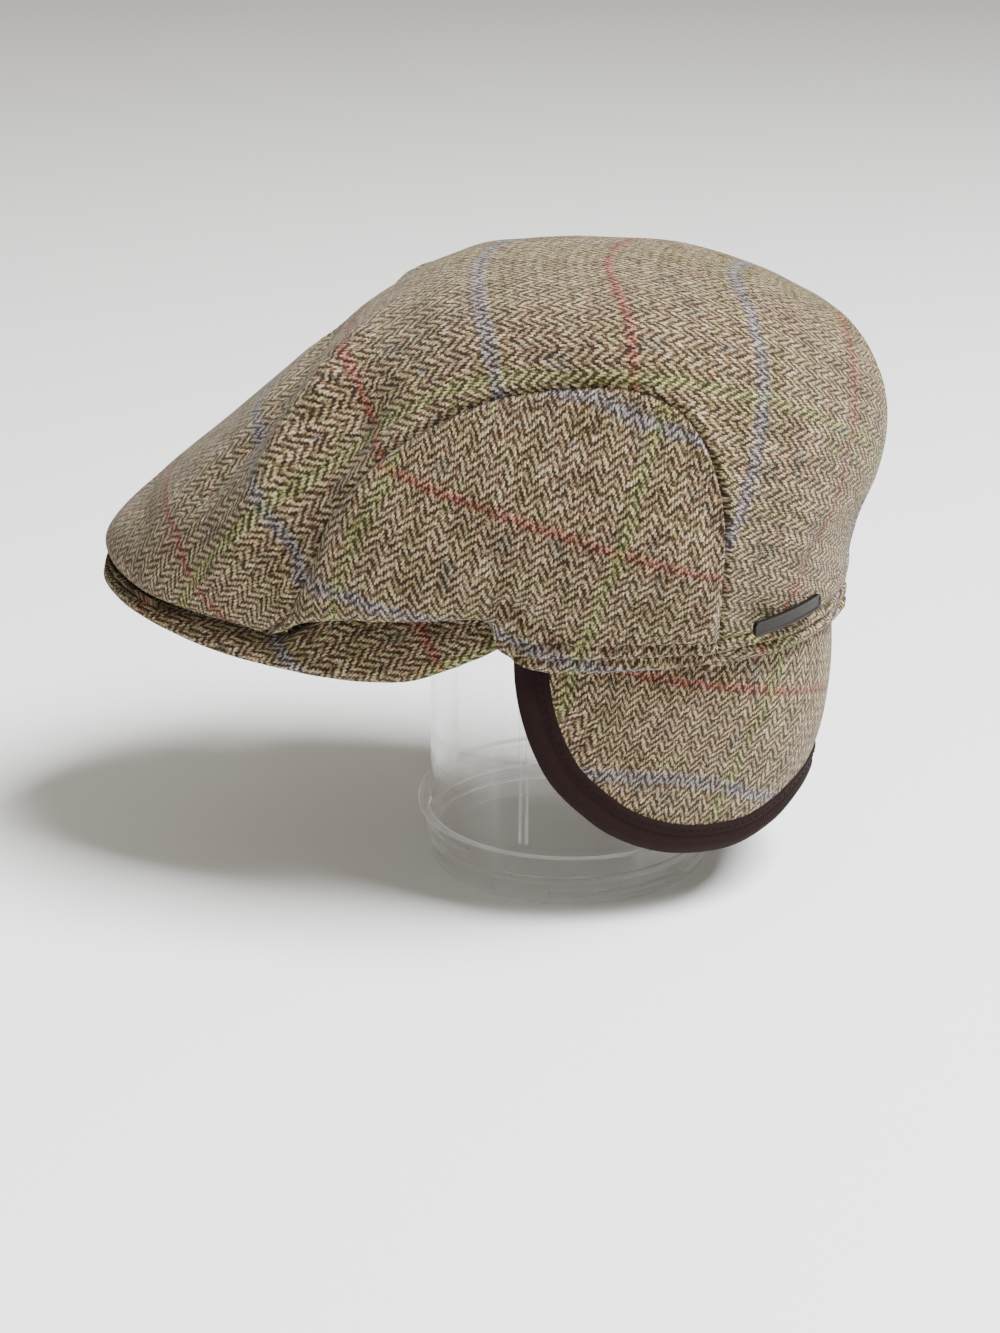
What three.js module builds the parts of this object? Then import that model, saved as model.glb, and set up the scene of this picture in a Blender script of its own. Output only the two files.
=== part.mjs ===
// Flat cap with earflaps, resting on a clear upturned jar.
// Millimetres. +Z is up, -Y is the front of the cap and +X is the wearer's left. The tables and sizes
// are measured from the jar's axis, and the finished group is moved so that the origin lies under the
// middle of the whole thing, on the table.
import * as THREE from "three";

// Driving sizes
const CLOTH = 2.4; // tweed with its backing
const PANEL_GAP = 0.3; // clearance between neighbouring pieces
const AXIS_Y = 30.2; // the jar's axis, behind the middle of the footprint
const HEM_Z = 96.5; // lower edge of the crown at the sides and back
const HEM = { centreY: -2, halfWidth: 80, halfLength: 97, power: 2 }; // plan of the head opening

// Colours and finishes
const TWEED = { color: 0x8b7b62, roughness: 0.95, metalness: 0 };
const TAPE = { color: 0x33221f, roughness: 0.85, metalness: 0 };
const STEEL = { color: 0x4c4a48, roughness: 0.4, metalness: 0.8 };
const CLEAR = { color: 0xe6ebee, roughness: 0.05, metalness: 0, transparent: true, opacity: 0.35 };

// The crown is lofted through sections that follow each other from the front edge over the peak to
// the hem at the back. Each row is the left half of one section, from the middle line down to the edge:
// mid [y, z], then shoulder, seam, belly, fold and base, each [x, y, z].
const SECTIONS = [
  { mid: [-164.5, 107.5], shoulder: [46, -140, 104.2], seam: [68.2, -93, 100.8],
    belly: [69.4, -90.6, 101.4], fold: [70.6, -88, 102.2], base: [71.8, -85, 103.4] },
  { mid: [-165, 116], shoulder: [50, -140, 113], seam: [75.5, -84.5, 109],
    belly: [77.3, -80.8, 109], fold: [76.6, -78.6, 108], base: [71.8, -77.8, 108] },
  { mid: [-151, 131.5], shoulder: [54, -130.5, 128], seam: [79.5, -75.5, 128],
    belly: [82.5, -74, 119], fold: [80.3, -72.5, 110.5], base: [70, -71, 110.7] },
  { mid: [-129, 150], shoulder: [56, -114.5, 146], seam: [80.8, -70, 145],
    belly: [85, -69, 128], fold: [82.5, -65.5, 112.6], base: [69, -63, 112.6] },
  { mid: [-105, 170], shoulder: [56, -94, 165.5], seam: [82, -57.5, 160],
    belly: [87, -56, 134], fold: [84.2, -53, 114.2], base: [70, -51, 113.2] },
  { mid: [-76, 194.5], shoulder: [55, -68, 189.5], seam: [80.5, -42, 172.5],
    belly: [88.5, -40, 141], fold: [85.6, -36, 116], base: [73.5, -34, 113.6] },
  { mid: [-43, 213], shoulder: [56, -38, 206.5], seam: [78.5, -22.5, 183],
    belly: [89.8, -20, 146], fold: [86.3, -17, 119], base: [76.5, -17.5, 112] },
  { mid: [-20, 216.3], shoulder: [56.5, -20, 210.3], seam: [77.5, -9, 187.5],
    belly: [90.3, -8, 147.5], fold: [86.2, -8, 121], base: [79.2, -15.5, 100.5] },
  { mid: [6, 217.4], shoulder: [56.5, 4, 211.8], seam: [77, 9, 190.4],
    belly: [90.3, 6, 148], fold: [85.6, 5, 121.5], base: [79.7, 3, 96.5] },
  { mid: [36, 216.8], shoulder: [56, 30, 211], seam: [77, 28, 190.9],
    belly: [89.5, 26, 148], fold: [84.3, 23, 121], base: [77.4, 22.5, 96.5] },
  { mid: [68, 209.8], shoulder: [54, 55, 203.5], seam: [77.3, 44, 184.5],
    belly: [87, 40, 145], fold: [81.6, 37, 119], base: [73.2, 37, 96.5] },
  { mid: [91, 198], shoulder: [52, 74, 189], seam: [79, 54, 171],
    belly: [84, 49.5, 137], fold: [78, 46, 115], base: [69.6, 45.5, 96.5] },
  { mid: [103, 180], shoulder: [50, 86, 171], seam: [79.6, 58.5, 155],
    belly: [81, 55, 128], fold: [75.5, 52, 110], base: [67.1, 50.5, 96.5] },
  { mid: [106, 160], shoulder: [48.5, 89, 151], seam: [79, 59.5, 140],
    belly: [78.8, 57, 121], fold: [73.5, 54.7, 107], base: [66, 52.6, 96.5] },
  { mid: [101.5, 137], shoulder: [47, 86.5, 131], seam: [75.6, 58.3, 124],
    belly: [74.7, 57, 114.5], fold: [71, 55.6, 105], base: [66, 53, 96.5] },
  { mid: [95.5, 117], shoulder: [44.5, 83, 114], seam: [70, 57.3, 110],
    belly: [69.4, 56.8, 105.6], fold: [67.9, 55.8, 101], base: [65.6, 53.7, 96.5] },
  { mid: [95, 96.5], shoulder: [42, 80.5, 96.5], seam: [64, 56.2, 96.5],
    belly: [64.4, 55.6, 96.5], fold: [64.8, 55, 96.5], base: [65.2, 54.4, 96.5] },
];
const CORNER_SHARE = 0.35; // thickness of a side panel's front corner, as a share of the cloth's
const CORNER_RATE = 0.35; // and how fast it grows with each section
const SECTION_STEPS = 32; // rows of facets from front to back
const TOP_STEPS = 14; // columns of facets across the centre panel
const SIDE_STEPS = 10; // columns of facets down a side panel

// The peak, row by row from its tip to its left end: direction from straight ahead in degrees,
// height of the rim's lower edge, how far in the crown's edge sits, height of the peak's top there,
// and height of the top at the head opening.
const PEAK = [
  { turn: 0, rimZ: 102, lip: 4, lipZ: 106, innerZ: 112 },
  { turn: 10, rimZ: 100.2, lip: 4.5, lipZ: 105, innerZ: 111.5 },
  { turn: 16, rimZ: 98, lip: 5, lipZ: 103, innerZ: 111 },
  { turn: 22, rimZ: 95.2, lip: 5.5, lipZ: 101.5, innerZ: 110.5 },
  { turn: 30, rimZ: 92, lip: 6.5, lipZ: 99.3, innerZ: 110 },
  { turn: 38, rimZ: 89.5, lip: 8, lipZ: 99.6, innerZ: 110.5 },
  { turn: 42, rimZ: 88.6, lip: 9.5, lipZ: 105.5, innerZ: 111 },
  { turn: 46, rimZ: 87.8, lip: 14, lipZ: 110.8, innerZ: 111.4 },
  { turn: 53, rimZ: 87.6, lip: 14, lipZ: 112, innerZ: 112 },
  { turn: 62, rimZ: 89, lip: 10.3, lipZ: 112.5, innerZ: 112.5 },
  { turn: 72, rimZ: 94.8, lip: 6.3, lipZ: 112, innerZ: 112 },
  { turn: 77, rimZ: 98.3, lip: 4.6, lipZ: 111, innerZ: 111 },
];
const PEAK_PLAN = { centreY: -25, halfWidth: 81, halfLength: 142, power: 2.2 }; // rim, seen from above
const PEAK_STEPS = 44;
const PEAK_THICK = 3.2;

// The flap's lower edge, row by row from the left ear to the middle of the back: direction from
// straight ahead in degrees, and height.
const FLAP_EDGE = [
  { turn: 83.3, z: 100 },
  { turn: 83.8, z: 90.8 },
  { turn: 85.3, z: 80 },
  { turn: 88.3, z: 67.5 },
  { turn: 93.3, z: 54.5 },
  { turn: 101.5, z: 43 },
  { turn: 110, z: 34.3 },
  { turn: 122, z: 27.4 },
  { turn: 134, z: 24.1 },
  { turn: 147, z: 23.3 },
  { turn: 159, z: 26.5 },
  { turn: 170, z: 31.5 },
  { turn: 180, z: 34 },
];
const FLAP_TOP_Z = 103;
const FLAP_THICK = 3.2;
const FLAP_GAP = 1.7; // clearance inside the hem, which isn't a true ellipse
const FLAP_LOW_Z = 24;
const FLAP_LEAN = 9.5; // how far the flap's lowest edge swings in
const FLAP_BULGE = 2.5; // how far its middle stands out
const TAPE_WIDTH = 12;
const TAPE_THICK = 4.4;
const FLAP_STEPS = 44; // columns of facets along each half of the flap
const FLAP_ROWS = 5;

// The jar: radii and heights of its mouth, flange, body and closed end
const JAR = { mouthR: 50, flangeR: 54.3, flangeZ: 19, flangeThick: 3, bodyR: 49.5, topZ: 210.6,
  corner: 11, wall: 2.2, threadDepth: 1.2, threads: [5, 11] };

// The blank bar on the back panel
const BAR = { length: 35, height: 5, thick: 1.6, turn: 146.2, radius: 94.7, z: 111.5, rise: 3 };

const radians = THREE.MathUtils.degToRad;
const lerp = THREE.MathUtils.lerp;

// A smooth value through the rows of a list at place t, counted in rows.
function through(values, t) {
  const last = values.length - 1;
  const i = Math.min(Math.max(Math.floor(t), 0), last - 1);
  const f = t - i;
  const at = (k) => values[Math.min(Math.max(k, 0), last)];
  const before = i > 0 ? at(i - 1) : 2 * at(0) - at(1);
  const after = i + 2 <= last ? at(i + 2) : 2 * at(last) - at(last - 1);
  const slopeA = (at(i + 1) - before) / 2;
  const slopeB = (after - at(i)) / 2;
  const f2 = f * f;
  const f3 = f2 * f;
  return (2 * f3 - 3 * f2 + 1) * at(i) + (f3 - 2 * f2 + f) * slopeA
    + (3 * f2 - 2 * f3) * at(i + 1) + (f3 - f2) * slopeB;
}

const column = (rows, key) => rows.map((row) => row[key]);

// One section of the crown as guide points [x, y, z], at place t counted in rows.
const GUIDES = ["mid", "shoulder", "seam", "belly", "fold", "base"];
function guidePoint(name, t) {
  const rows = column(SECTIONS, name);
  const flat = name === "mid" ? rows.map(([y, z]) => [0, y, z]) : rows;
  return [0, 1, 2].map((axis) => through(flat.map((p) => p[axis]), t));
}

// A point of the crown's outer face: t counts rows from the front, s counts guides from the middle.
function crownPoint(t, s) {
  const half = GUIDES.map((name) => guidePoint(name, t));
  const mirrored = half.slice(1).map(([x, y, z]) => [-x, y, z]).reverse();
  const line = [...mirrored, ...half];
  const place = s + mirrored.length;
  return new THREE.Vector3(...[0, 1, 2].map((axis) => through(line.map((p) => p[axis]), place)));
}

// The crown's outward direction at a place, from two nearby differences.
function crownNormal(t, s) {
  const last = SECTIONS.length - 1;
  const d = 0.02;
  const along = crownPoint(Math.min(t + d, last), s).sub(crownPoint(Math.max(t - d, 0), s));
  const limit = GUIDES.length - 1;
  const across = crownPoint(t, Math.min(s + d, limit)).sub(crownPoint(t, Math.max(s - d, -limit)));
  return across.cross(along).normalize();
}

// A closed shell from two grids of points that share their layout: the outer and the inner face.
function shell(outer, inner) {
  const rows = outer.length;
  const columns = outer[0].length;
  const points = [...outer.flat(), ...inner.flat()];
  const out = (i, j) => i * columns + j;
  const into = (i, j) => rows * columns + i * columns + j;
  const index = [];
  const quad = (a, b, c, d) => index.push(a, b, c, a, c, d);
  for (let i = 0; i + 1 < rows; i++) {
    for (let j = 0; j + 1 < columns; j++) {
      quad(out(i, j), out(i, j + 1), out(i + 1, j + 1), out(i + 1, j));
      quad(into(i, j), into(i + 1, j), into(i + 1, j + 1), into(i, j + 1));
    }
    quad(out(i, 0), out(i + 1, 0), into(i + 1, 0), into(i, 0));
    quad(out(i + 1, columns - 1), out(i, columns - 1), into(i, columns - 1), into(i + 1, columns - 1));
  }
  for (let j = 0; j + 1 < columns; j++) {
    quad(out(0, j + 1), out(0, j), into(0, j), into(0, j + 1));
    quad(out(rows - 1, j), out(rows - 1, j + 1), into(rows - 1, j + 1), into(rows - 1, j));
  }
  const geometry = new THREE.BufferGeometry().setFromPoints(points);
  geometry.setIndex(index);
  return geometry;
}

// A grid of points: place(i, j) for whole numbers i and j up to the given counts.
const grid = (rows, columns, place) => Array.from({ length: rows + 1 },
  (_, i) => Array.from({ length: columns + 1 }, (_, j) => place(i, j)));

// A cloth panel of the crown between two guide places, which may change with t. Where the panel runs out
// to a corner, at its first row, its turned edges are pressed thinner.
function panel(steps, from, to, cornerShare) {
  const last = SECTIONS.length - 1;
  const place = (i, j) => {
    const t = (last * i) / SECTION_STEPS;
    return [t, lerp(from(t), to(t), j / steps)];
  };
  const outer = grid(SECTION_STEPS, steps, (i, j) => crownPoint(...place(i, j)));
  const inner = grid(SECTION_STEPS, steps, (i, j) => {
    const [t, s] = place(i, j);
    const thick = CLOTH * Math.min(cornerShare + t * CORNER_RATE, 1);
    return crownPoint(t, s).addScaledVector(crownNormal(t, s), -thick);
  });
  return shell(outer, inner);
}

// How much of the stretch from seam to belly makes the clearance between two panels.
function gapShare(t) {
  const seam = crownPoint(t, 2);
  const belly = crownPoint(t, 3);
  return Math.min(PANEL_GAP / seam.distanceTo(belly), 0.45);
}

const crownTop = () => panel(TOP_STEPS, () => -2, () => 2, 1);
const sidePanel = (side) => side > 0
  ? panel(SIDE_STEPS, (t) => 2 + gapShare(t), () => 5, CORNER_SHARE)
  : panel(SIDE_STEPS, () => -5, (t) => -2 - gapShare(t), CORNER_SHARE);

// A point at a direction from straight ahead, a radius and a height.
const polar = (turn, radius, z) => new THREE.Vector3(
  radius * Math.sin(radians(turn)), -radius * Math.cos(radians(turn)), z);

// Radius, in a direction, of a rounded plan outline whose centre lies on the middle line. A power of 2
// makes an ellipse, and more makes it squarer.
function planRadius({ centreY, halfWidth, halfLength, power }, turn) {
  const inside = (radius) => {
    const { x, y } = polar(turn, radius, 0);
    return Math.abs(x / halfWidth) ** power + Math.abs((y - centreY) / halfLength) ** power < 1;
  };
  let low = 0;
  let high = 2 * halfLength;
  while (high - low > 0.001) {
    const radius = (low + high) / 2;
    if (inside(radius)) low = radius;
    else high = radius;
  }
  return low;
}
const hemRadius = (turn) => planRadius(HEM, turn);

// Where a direction falls among the rows of a table with a turn column.
function rowOf(rows, turn) {
  const turns = column(rows, "turn");
  const i = Math.max(turns.findLastIndex((value) => value <= turn), 0);
  return i >= turns.length - 1 ? turns.length - 1 : i + (turn - turns[i]) / (turns[i + 1] - turns[i]);
}

// The peak: a curved plate from the head opening to its rim, steeper past the crown's edge.
function peak() {
  const widest = PEAK.at(-1).turn;
  const turnOf = (i) => lerp(-widest, widest, i / PEAK_STEPS);
  const profile = (turn) => {
    const place = rowOf(PEAK, Math.abs(turn));
    const at = (key) => through(column(PEAK, key), place);
    const rimR = planRadius(PEAK_PLAN, turn);
    const lipR = rimR - at("lip");
    const innerR = Math.min(hemRadius(turn) - CLOTH - 1, lipR - 2);
    const rimTop = at("rimZ") + PEAK_THICK;
    return [
      [innerR, at("innerZ")],
      [lerp(innerR, lipR, 0.5), lerp(at("innerZ"), at("lipZ"), 0.55)],
      [lipR, at("lipZ")],
      [lerp(lipR, rimR, 0.55), lerp(at("lipZ"), rimTop, 0.45)],
      [rimR - 0.6, rimTop],
    ];
  };
  const top = grid(PEAK_STEPS, 4, (i, j) => polar(turnOf(i), ...profile(turnOf(i))[j]));
  const under = grid(PEAK_STEPS, 4, (i, j) => {
    const line = profile(turnOf(i));
    const [r0, z0] = line[Math.max(j - 1, 0)];
    const [r1, z1] = line[Math.min(j + 1, 4)];
    const length = Math.hypot(r1 - r0, z1 - z0);
    const [r, z] = line[j];
    return polar(turnOf(i), r + ((z1 - z0) / length) * PEAK_THICK, z - ((r1 - r0) / length) * PEAK_THICK);
  });
  return shell(top, under);
}

// Radius of the flap's outer face in a direction and at a height.
function flapRadius(turn, z) {
  const drop = Math.max(HEM_Z - z, 0) / (HEM_Z - FLAP_LOW_Z);
  const swing = FLAP_BULGE * Math.sin(Math.PI * drop) - FLAP_LEAN * Math.pow(drop, 1.6);
  return hemRadius(turn) - CLOTH - FLAP_GAP + swing;
}

// The flap's lower edge at place u from the left ear (0) round to the right ear (1).
function flapEdge(u) {
  const half = FLAP_EDGE.length - 1;
  const place = u <= 0.5 ? u * 2 * half : (1 - u) * 2 * half;
  const turn = through(column(FLAP_EDGE, "turn"), place);
  const z = through(column(FLAP_EDGE, "z"), place);
  return { turn: u <= 0.5 ? turn : 360 - turn, z };
}

// The same edge moved up into the cloth by a width, measured on the flap.
function insetEdge(u, width) {
  const d = 0.002;
  const a = flapEdge(Math.max(u - d, 0));
  const b = flapEdge(Math.min(u + d, 1));
  const here = flapEdge(u);
  const perDegree = radians(1) * flapRadius(here.turn, here.z);
  const run = (b.turn - a.turn) * perDegree;
  const fall = b.z - a.z;
  const length = Math.hypot(run, fall);
  return { turn: here.turn - (fall / length) * width / perDegree, z: here.z + (run / length) * width };
}

// A strip of the flap between two lines, each a function of u, with its outer face proud by a lift.
function flapStrip(rows, upper, lower, thick, lift) {
  const place = (i, j, depth) => {
    const u = i / (2 * FLAP_STEPS);
    const a = upper(u);
    const b = lower(u);
    const turn = lerp(a.turn, b.turn, j / rows);
    const z = lerp(a.z, b.z, j / rows);
    return polar(turn, flapRadius(turn, z) + lift - depth, z);
  };
  const columns = 2 * FLAP_STEPS;
  return shell(grid(columns, rows, (i, j) => place(i, j, 0)), grid(columns, rows, (i, j) => place(i, j, thick)));
}

const earflap = () => flapStrip(FLAP_ROWS,
  (u) => ({ turn: insetEdge(u, TAPE_WIDTH + PANEL_GAP).turn, z: FLAP_TOP_Z }),
  (u) => insetEdge(u, TAPE_WIDTH + PANEL_GAP), FLAP_THICK, 0);
const flapBinding = () => flapStrip(2, (u) => insetEdge(u, TAPE_WIDTH), (u) => flapEdge(u),
  TAPE_THICK, (TAPE_THICK - FLAP_THICK) / 2);

// The jar as one turned profile, open at the mouth.
function jar() {
  const { mouthR, flangeR, flangeZ, flangeThick, bodyR, topZ, corner, wall, threadDepth, threads } = JAR;
  const round = (radius, centreR, centreZ) => [0, 22.5, 45, 67.5, 90].map((a) => new THREE.Vector2(
    centreR + radius * Math.cos(radians(a)), centreZ + radius * Math.sin(radians(a))));
  const ridges = threads.flatMap((z) => [[mouthR, z - 1], [mouthR + threadDepth, z],
    [mouthR, z + 1]].map(([r, h]) => new THREE.Vector2(r, h)));
  const profile = [
    new THREE.Vector2(mouthR - wall, 0),
    new THREE.Vector2(mouthR, 0),
    ...ridges,
    new THREE.Vector2(mouthR, flangeZ),
    new THREE.Vector2(flangeR, flangeZ),
    new THREE.Vector2(flangeR, flangeZ + flangeThick),
    new THREE.Vector2(bodyR, flangeZ + flangeThick),
    ...round(corner, bodyR - corner, topZ - corner),
    new THREE.Vector2(0, topZ),
    new THREE.Vector2(0, topZ - wall),
    ...round(corner - wall, bodyR - corner, topZ - corner).reverse(),
    new THREE.Vector2(mouthR - wall, 0),
  ];
  return new THREE.LatheGeometry(profile, 48).rotateX(Math.PI / 2);
}

// The blank bar: a short strip bent to the back panel.
function sideBar() {
  const half = BAR.length / 2 / BAR.radius;
  const shape = new THREE.Shape();
  shape.absarc(0, 0, BAR.radius + BAR.thick, -half, half, false);
  shape.absarc(0, 0, BAR.radius, half, -half, true);
  const geometry = new THREE.ExtrudeGeometry(shape, { depth: BAR.height, bevelEnabled: false, curveSegments: 6 });
  return geometry.translate(-BAR.radius, 0, -BAR.height / 2);
}

function piece(name, geometry, look) {
  const mesh = new THREE.Mesh(geometry, new THREE.MeshStandardMaterial(look));
  mesh.name = name;
  return mesh;
}

const capOnStand = new THREE.Group();
capOnStand.position.y = AXIS_Y;
capOnStand.add(piece("crown_top", crownTop(), TWEED));
capOnStand.add(piece("side_panel_left", sidePanel(1), TWEED));
capOnStand.add(piece("side_panel_right", sidePanel(-1), TWEED));
capOnStand.add(piece("peak", peak(), TWEED));
capOnStand.add(piece("earflap", earflap(), TWEED));
capOnStand.add(piece("flap_binding", flapBinding(), TAPE));
capOnStand.add(piece("clear_stand", jar(), CLEAR));

const bar = piece("side_bar", sideBar(), STEEL);
bar.position.copy(polar(BAR.turn, BAR.radius, BAR.z));
bar.rotation.set(0, 0, radians(BAR.turn - 90));
bar.rotateX(radians(BAR.rise));
capOnStand.add(bar);

const group = new THREE.Group();
group.add(capOnStand);

export default group;
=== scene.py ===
"""A tweed flat cap with earflaps on its clear stand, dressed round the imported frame.

The tables hold real sizes in millimetres, measured from the stand's axis, and MM turns them to metres.
+Z is up, -Y is the front of the cap and +X is the wearer's left.
"""

import logging
import math
import random
from dataclasses import dataclass, field
from enum import Enum
from typing import Any, Callable

import bmesh
import bpy
import numpy as np
from mathutils import Matrix, Vector, noise


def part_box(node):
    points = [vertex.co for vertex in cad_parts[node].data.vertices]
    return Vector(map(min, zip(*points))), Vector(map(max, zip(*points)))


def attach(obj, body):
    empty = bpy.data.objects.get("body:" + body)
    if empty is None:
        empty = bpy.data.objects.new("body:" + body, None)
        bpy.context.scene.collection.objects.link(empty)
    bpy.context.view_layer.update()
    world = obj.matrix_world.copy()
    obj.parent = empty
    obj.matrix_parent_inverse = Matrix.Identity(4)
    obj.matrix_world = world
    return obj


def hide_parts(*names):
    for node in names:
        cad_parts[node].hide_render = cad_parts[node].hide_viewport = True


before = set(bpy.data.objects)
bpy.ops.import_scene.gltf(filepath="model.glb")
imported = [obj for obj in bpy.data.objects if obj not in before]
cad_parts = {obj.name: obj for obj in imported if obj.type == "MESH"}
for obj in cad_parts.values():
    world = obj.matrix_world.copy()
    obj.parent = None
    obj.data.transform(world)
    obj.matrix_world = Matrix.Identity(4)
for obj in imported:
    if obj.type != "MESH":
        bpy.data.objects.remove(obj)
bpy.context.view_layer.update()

log = logging.getLogger("cap")
MM = 0.001
PHOTO_SIZE = (1000, 1333)
SEED = 7

Surface = Callable[[np.ndarray, np.ndarray], np.ndarray]


class Slot(Enum):
    """The record's material slots."""

    TWEED = "tweed"
    TAPE = "binding_tape"
    METAL = "dark_metal"
    CLEAR = "clear_plastic"


def new_object(name: str, data: Any) -> bpy.types.Object:
    """A new object with a mesh, curve, light or camera as its data, in the scene."""
    made = bpy.data.objects.new(name, data)
    bpy.context.scene.collection.objects.link(made)
    return made


def new_mesh(name: str, shape: bmesh.types.BMesh) -> bpy.types.Mesh:
    """The finished shape as a mesh with smooth faces. The bmesh is freed."""
    mesh = bpy.data.meshes.new(name)
    shape.to_mesh(mesh)
    shape.free()
    mesh.polygons.foreach_set("use_smooth", [True] * len(mesh.polygons))
    return mesh


# The photograph's view and what it shows of the overcheck


@dataclass(frozen=True)
class PhotoView:
    """The photograph's view: from the cap's left and a little above, in millimetres, degrees and pixels."""

    azimuth: float = 97.5
    pitch: float = 20.4
    distance: float = 832
    height: float = 379
    focal: float = 2500
    axis_column: float = 568
    axis_level: float = 10

    def place(self) -> np.ndarray:
        """Where the camera stands, counted from the stand's axis."""
        a = math.radians(self.azimuth)
        return np.array([self.distance * math.sin(a), -self.distance * math.cos(a), self.height])

    def directions(self) -> np.ndarray:
        """The picture's rightward, upward and forward directions, one a row."""
        a, pitch = math.radians(self.azimuth), math.radians(self.pitch)
        depth = self.distance * math.cos(pitch) + (self.height - self.axis_level) * math.sin(pitch)
        aside = math.asin((self.axis_column - PHOTO_SIZE[0] / 2) * depth / self.focal / self.distance)
        up = np.array([0, 0, 1])
        inwards = np.array([-math.sin(a), math.cos(a), 0])
        level = inwards * math.cos(aside) - np.cross(inwards, up) * math.sin(aside)
        right = np.cross(level, up)
        forward = level * math.cos(pitch) - up * math.sin(pitch)
        return np.stack([right, np.cross(right, forward), forward])

    def find(self, surface: Surface,
             pixels: tuple[tuple[float, float], ...]) -> tuple[np.ndarray, np.ndarray]:
        """Where on a surface some pixels of the photograph lie.

        Args:
            surface: gives points in millimetres for two shares from 0 to 1, across and along.
            pixels: the pixels, as (column, row).

        Returns:
            The two shares of each pixel's place.
        """
        share = np.linspace(0, 1, 301)
        a, b = np.meshgrid(share, share)
        points = surface(a.ravel(), b.ravel()).reshape(*a.shape, 3)
        outwards = np.cross(np.gradient(points, axis=1), np.gradient(points, axis=0))
        from_camera = points - self.place()
        right, up, forward = np.moveaxis(from_camera @ self.directions().T, 2, 0)
        column = PHOTO_SIZE[0] / 2 + self.focal * right / forward
        row = PHOTO_SIZE[1] / 2 - self.focal * up / forward
        hidden = (from_camera * outwards).sum(2) > 0
        nearest = [(np.hypot(column - x, row - y) + 1e3 * hidden).argmin() for x, y in pixels]
        return a.ravel()[nearest], b.ravel()[nearest]

    def build(self) -> None:
        """Makes the camera."""
        data = bpy.data.cameras.new("camera")
        data.sensor_width = 36
        data.lens = self.focal * data.sensor_width / max(PHOTO_SIZE)
        data.clip_start, data.clip_end = 0.01, 50
        camera = new_object("camera", data)
        camera.location = (self.place() + (0, AXIS_Y, 0)) * MM
        camera.rotation_mode = "QUATERNION"
        camera.rotation_quaternion = Vector(self.directions()[2]).to_track_quat("-Z", "Y")
        bpy.context.scene.camera = camera


PHOTO = PhotoView()
AXIS_Y = sum(corner.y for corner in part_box("clear_stand")) / 2 / MM


class Grain(Enum):
    """The weave's two yarns. A warp line's place is counted across the cloth, and a weft line's along it."""

    WARP = 0
    WEFT = 1


@dataclass(frozen=True)
class CheckLine:
    """A line of the overcheck: its yarn, its place in the cloth in millimetres, and pixels where it shows."""

    grain: Grain
    place: float
    seen: tuple[tuple[float, float], ...]


GREEN_EVERY = 80
CROSS_EVERY = 84
BLUE_FIRST = 42

TOP_LINES = (
    CheckLine(Grain.WEFT, -168, ((165, 485), (180, 530), (205, 600))),
    CheckLine(Grain.WEFT, -126, ((262, 480), (275, 530), (290, 580))),
    CheckLine(Grain.WEFT, -84, ((345, 325), (355, 370), (368, 420), (378, 455))),
    CheckLine(Grain.WEFT, -42, ((480, 285), (490, 330), (498, 385))),
    CheckLine(Grain.WEFT, 0, ((604, 266), (619, 293), (631, 327), (639, 376))),
    CheckLine(Grain.WEFT, 42, ((732, 278), (754, 312), (763, 358), (763, 404), (751, 480), (735, 526))),
    CheckLine(Grain.WEFT, 84, ((855, 352), (852, 367), (845, 450), (839, 495))),
    CheckLine(Grain.WARP, 80, ((579, 379), (634, 379), (683, 385), (726, 391), (757, 399), (787, 404),
                               (824, 413), (849, 428), (867, 439))),
    CheckLine(Grain.WARP, 160, ((722, 635), (757, 634), (792, 636))),
)
SIDE_LINES = (
    CheckLine(Grain.WEFT, 0, ((400, 472), (475, 505), (521, 523), (567, 538), (616, 554), (659, 563),
                              (708, 578))),
    CheckLine(Grain.WEFT, 42, ((570, 394), (604, 398), (628, 413), (653, 425), (689, 434))),
    CheckLine(Grain.WEFT, -42, ((314, 592), (377, 606), (553, 660), (604, 672))),
    CheckLine(Grain.WARP, 0, ((656, 434), (640, 477), (631, 514), (625, 544), (616, 569), (604, 587))),
    CheckLine(Grain.WARP, -80, ((400, 449), (384, 487), (351, 538), (333, 595))),
)
PEAK_LINES = (
    CheckLine(Grain.WEFT, 0, ((423, 630), (432, 648), (440, 668))),
    CheckLine(Grain.WEFT, 42, ((278, 640), (287, 660), (293, 671))),
    CheckLine(Grain.WEFT, 84, ((135, 606),)),
    CheckLine(Grain.WARP, -80, ((449, 665), (480, 657))),
)
FLAP_LINES = (
    CheckLine(Grain.WEFT, 0, ((621, 678), (661, 684), (701, 691), (755, 699), (816, 689))),
    CheckLine(Grain.WEFT, -42, ((586, 777), (626, 774), (658, 772), (722, 774))),
    CheckLine(Grain.WARP, 0, ((570, 690), (575, 710))),
    CheckLine(Grain.WARP, 80, ((784, 663), (766, 706), (748, 729), (731, 755), (718, 796))),
)

# The cap's forms in numbers. LAST_SECTION and CUT_FROM count sections from the front: behind CUT_FROM the
# centre panel is two halves with a seam between them. SEAM and BASE count a section's points from 0.

CLOTH = 2.4
PANEL_GAP = 0.08
HEM_Z = 96.5
LAST_SECTION = 16
CUT_FROM = 10.6
SEAM, BASE = 2, 5
HEM_PLAN = (-2, 80, 97, 2)
HEM_STITCHES = (5.0, 10.0)

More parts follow.
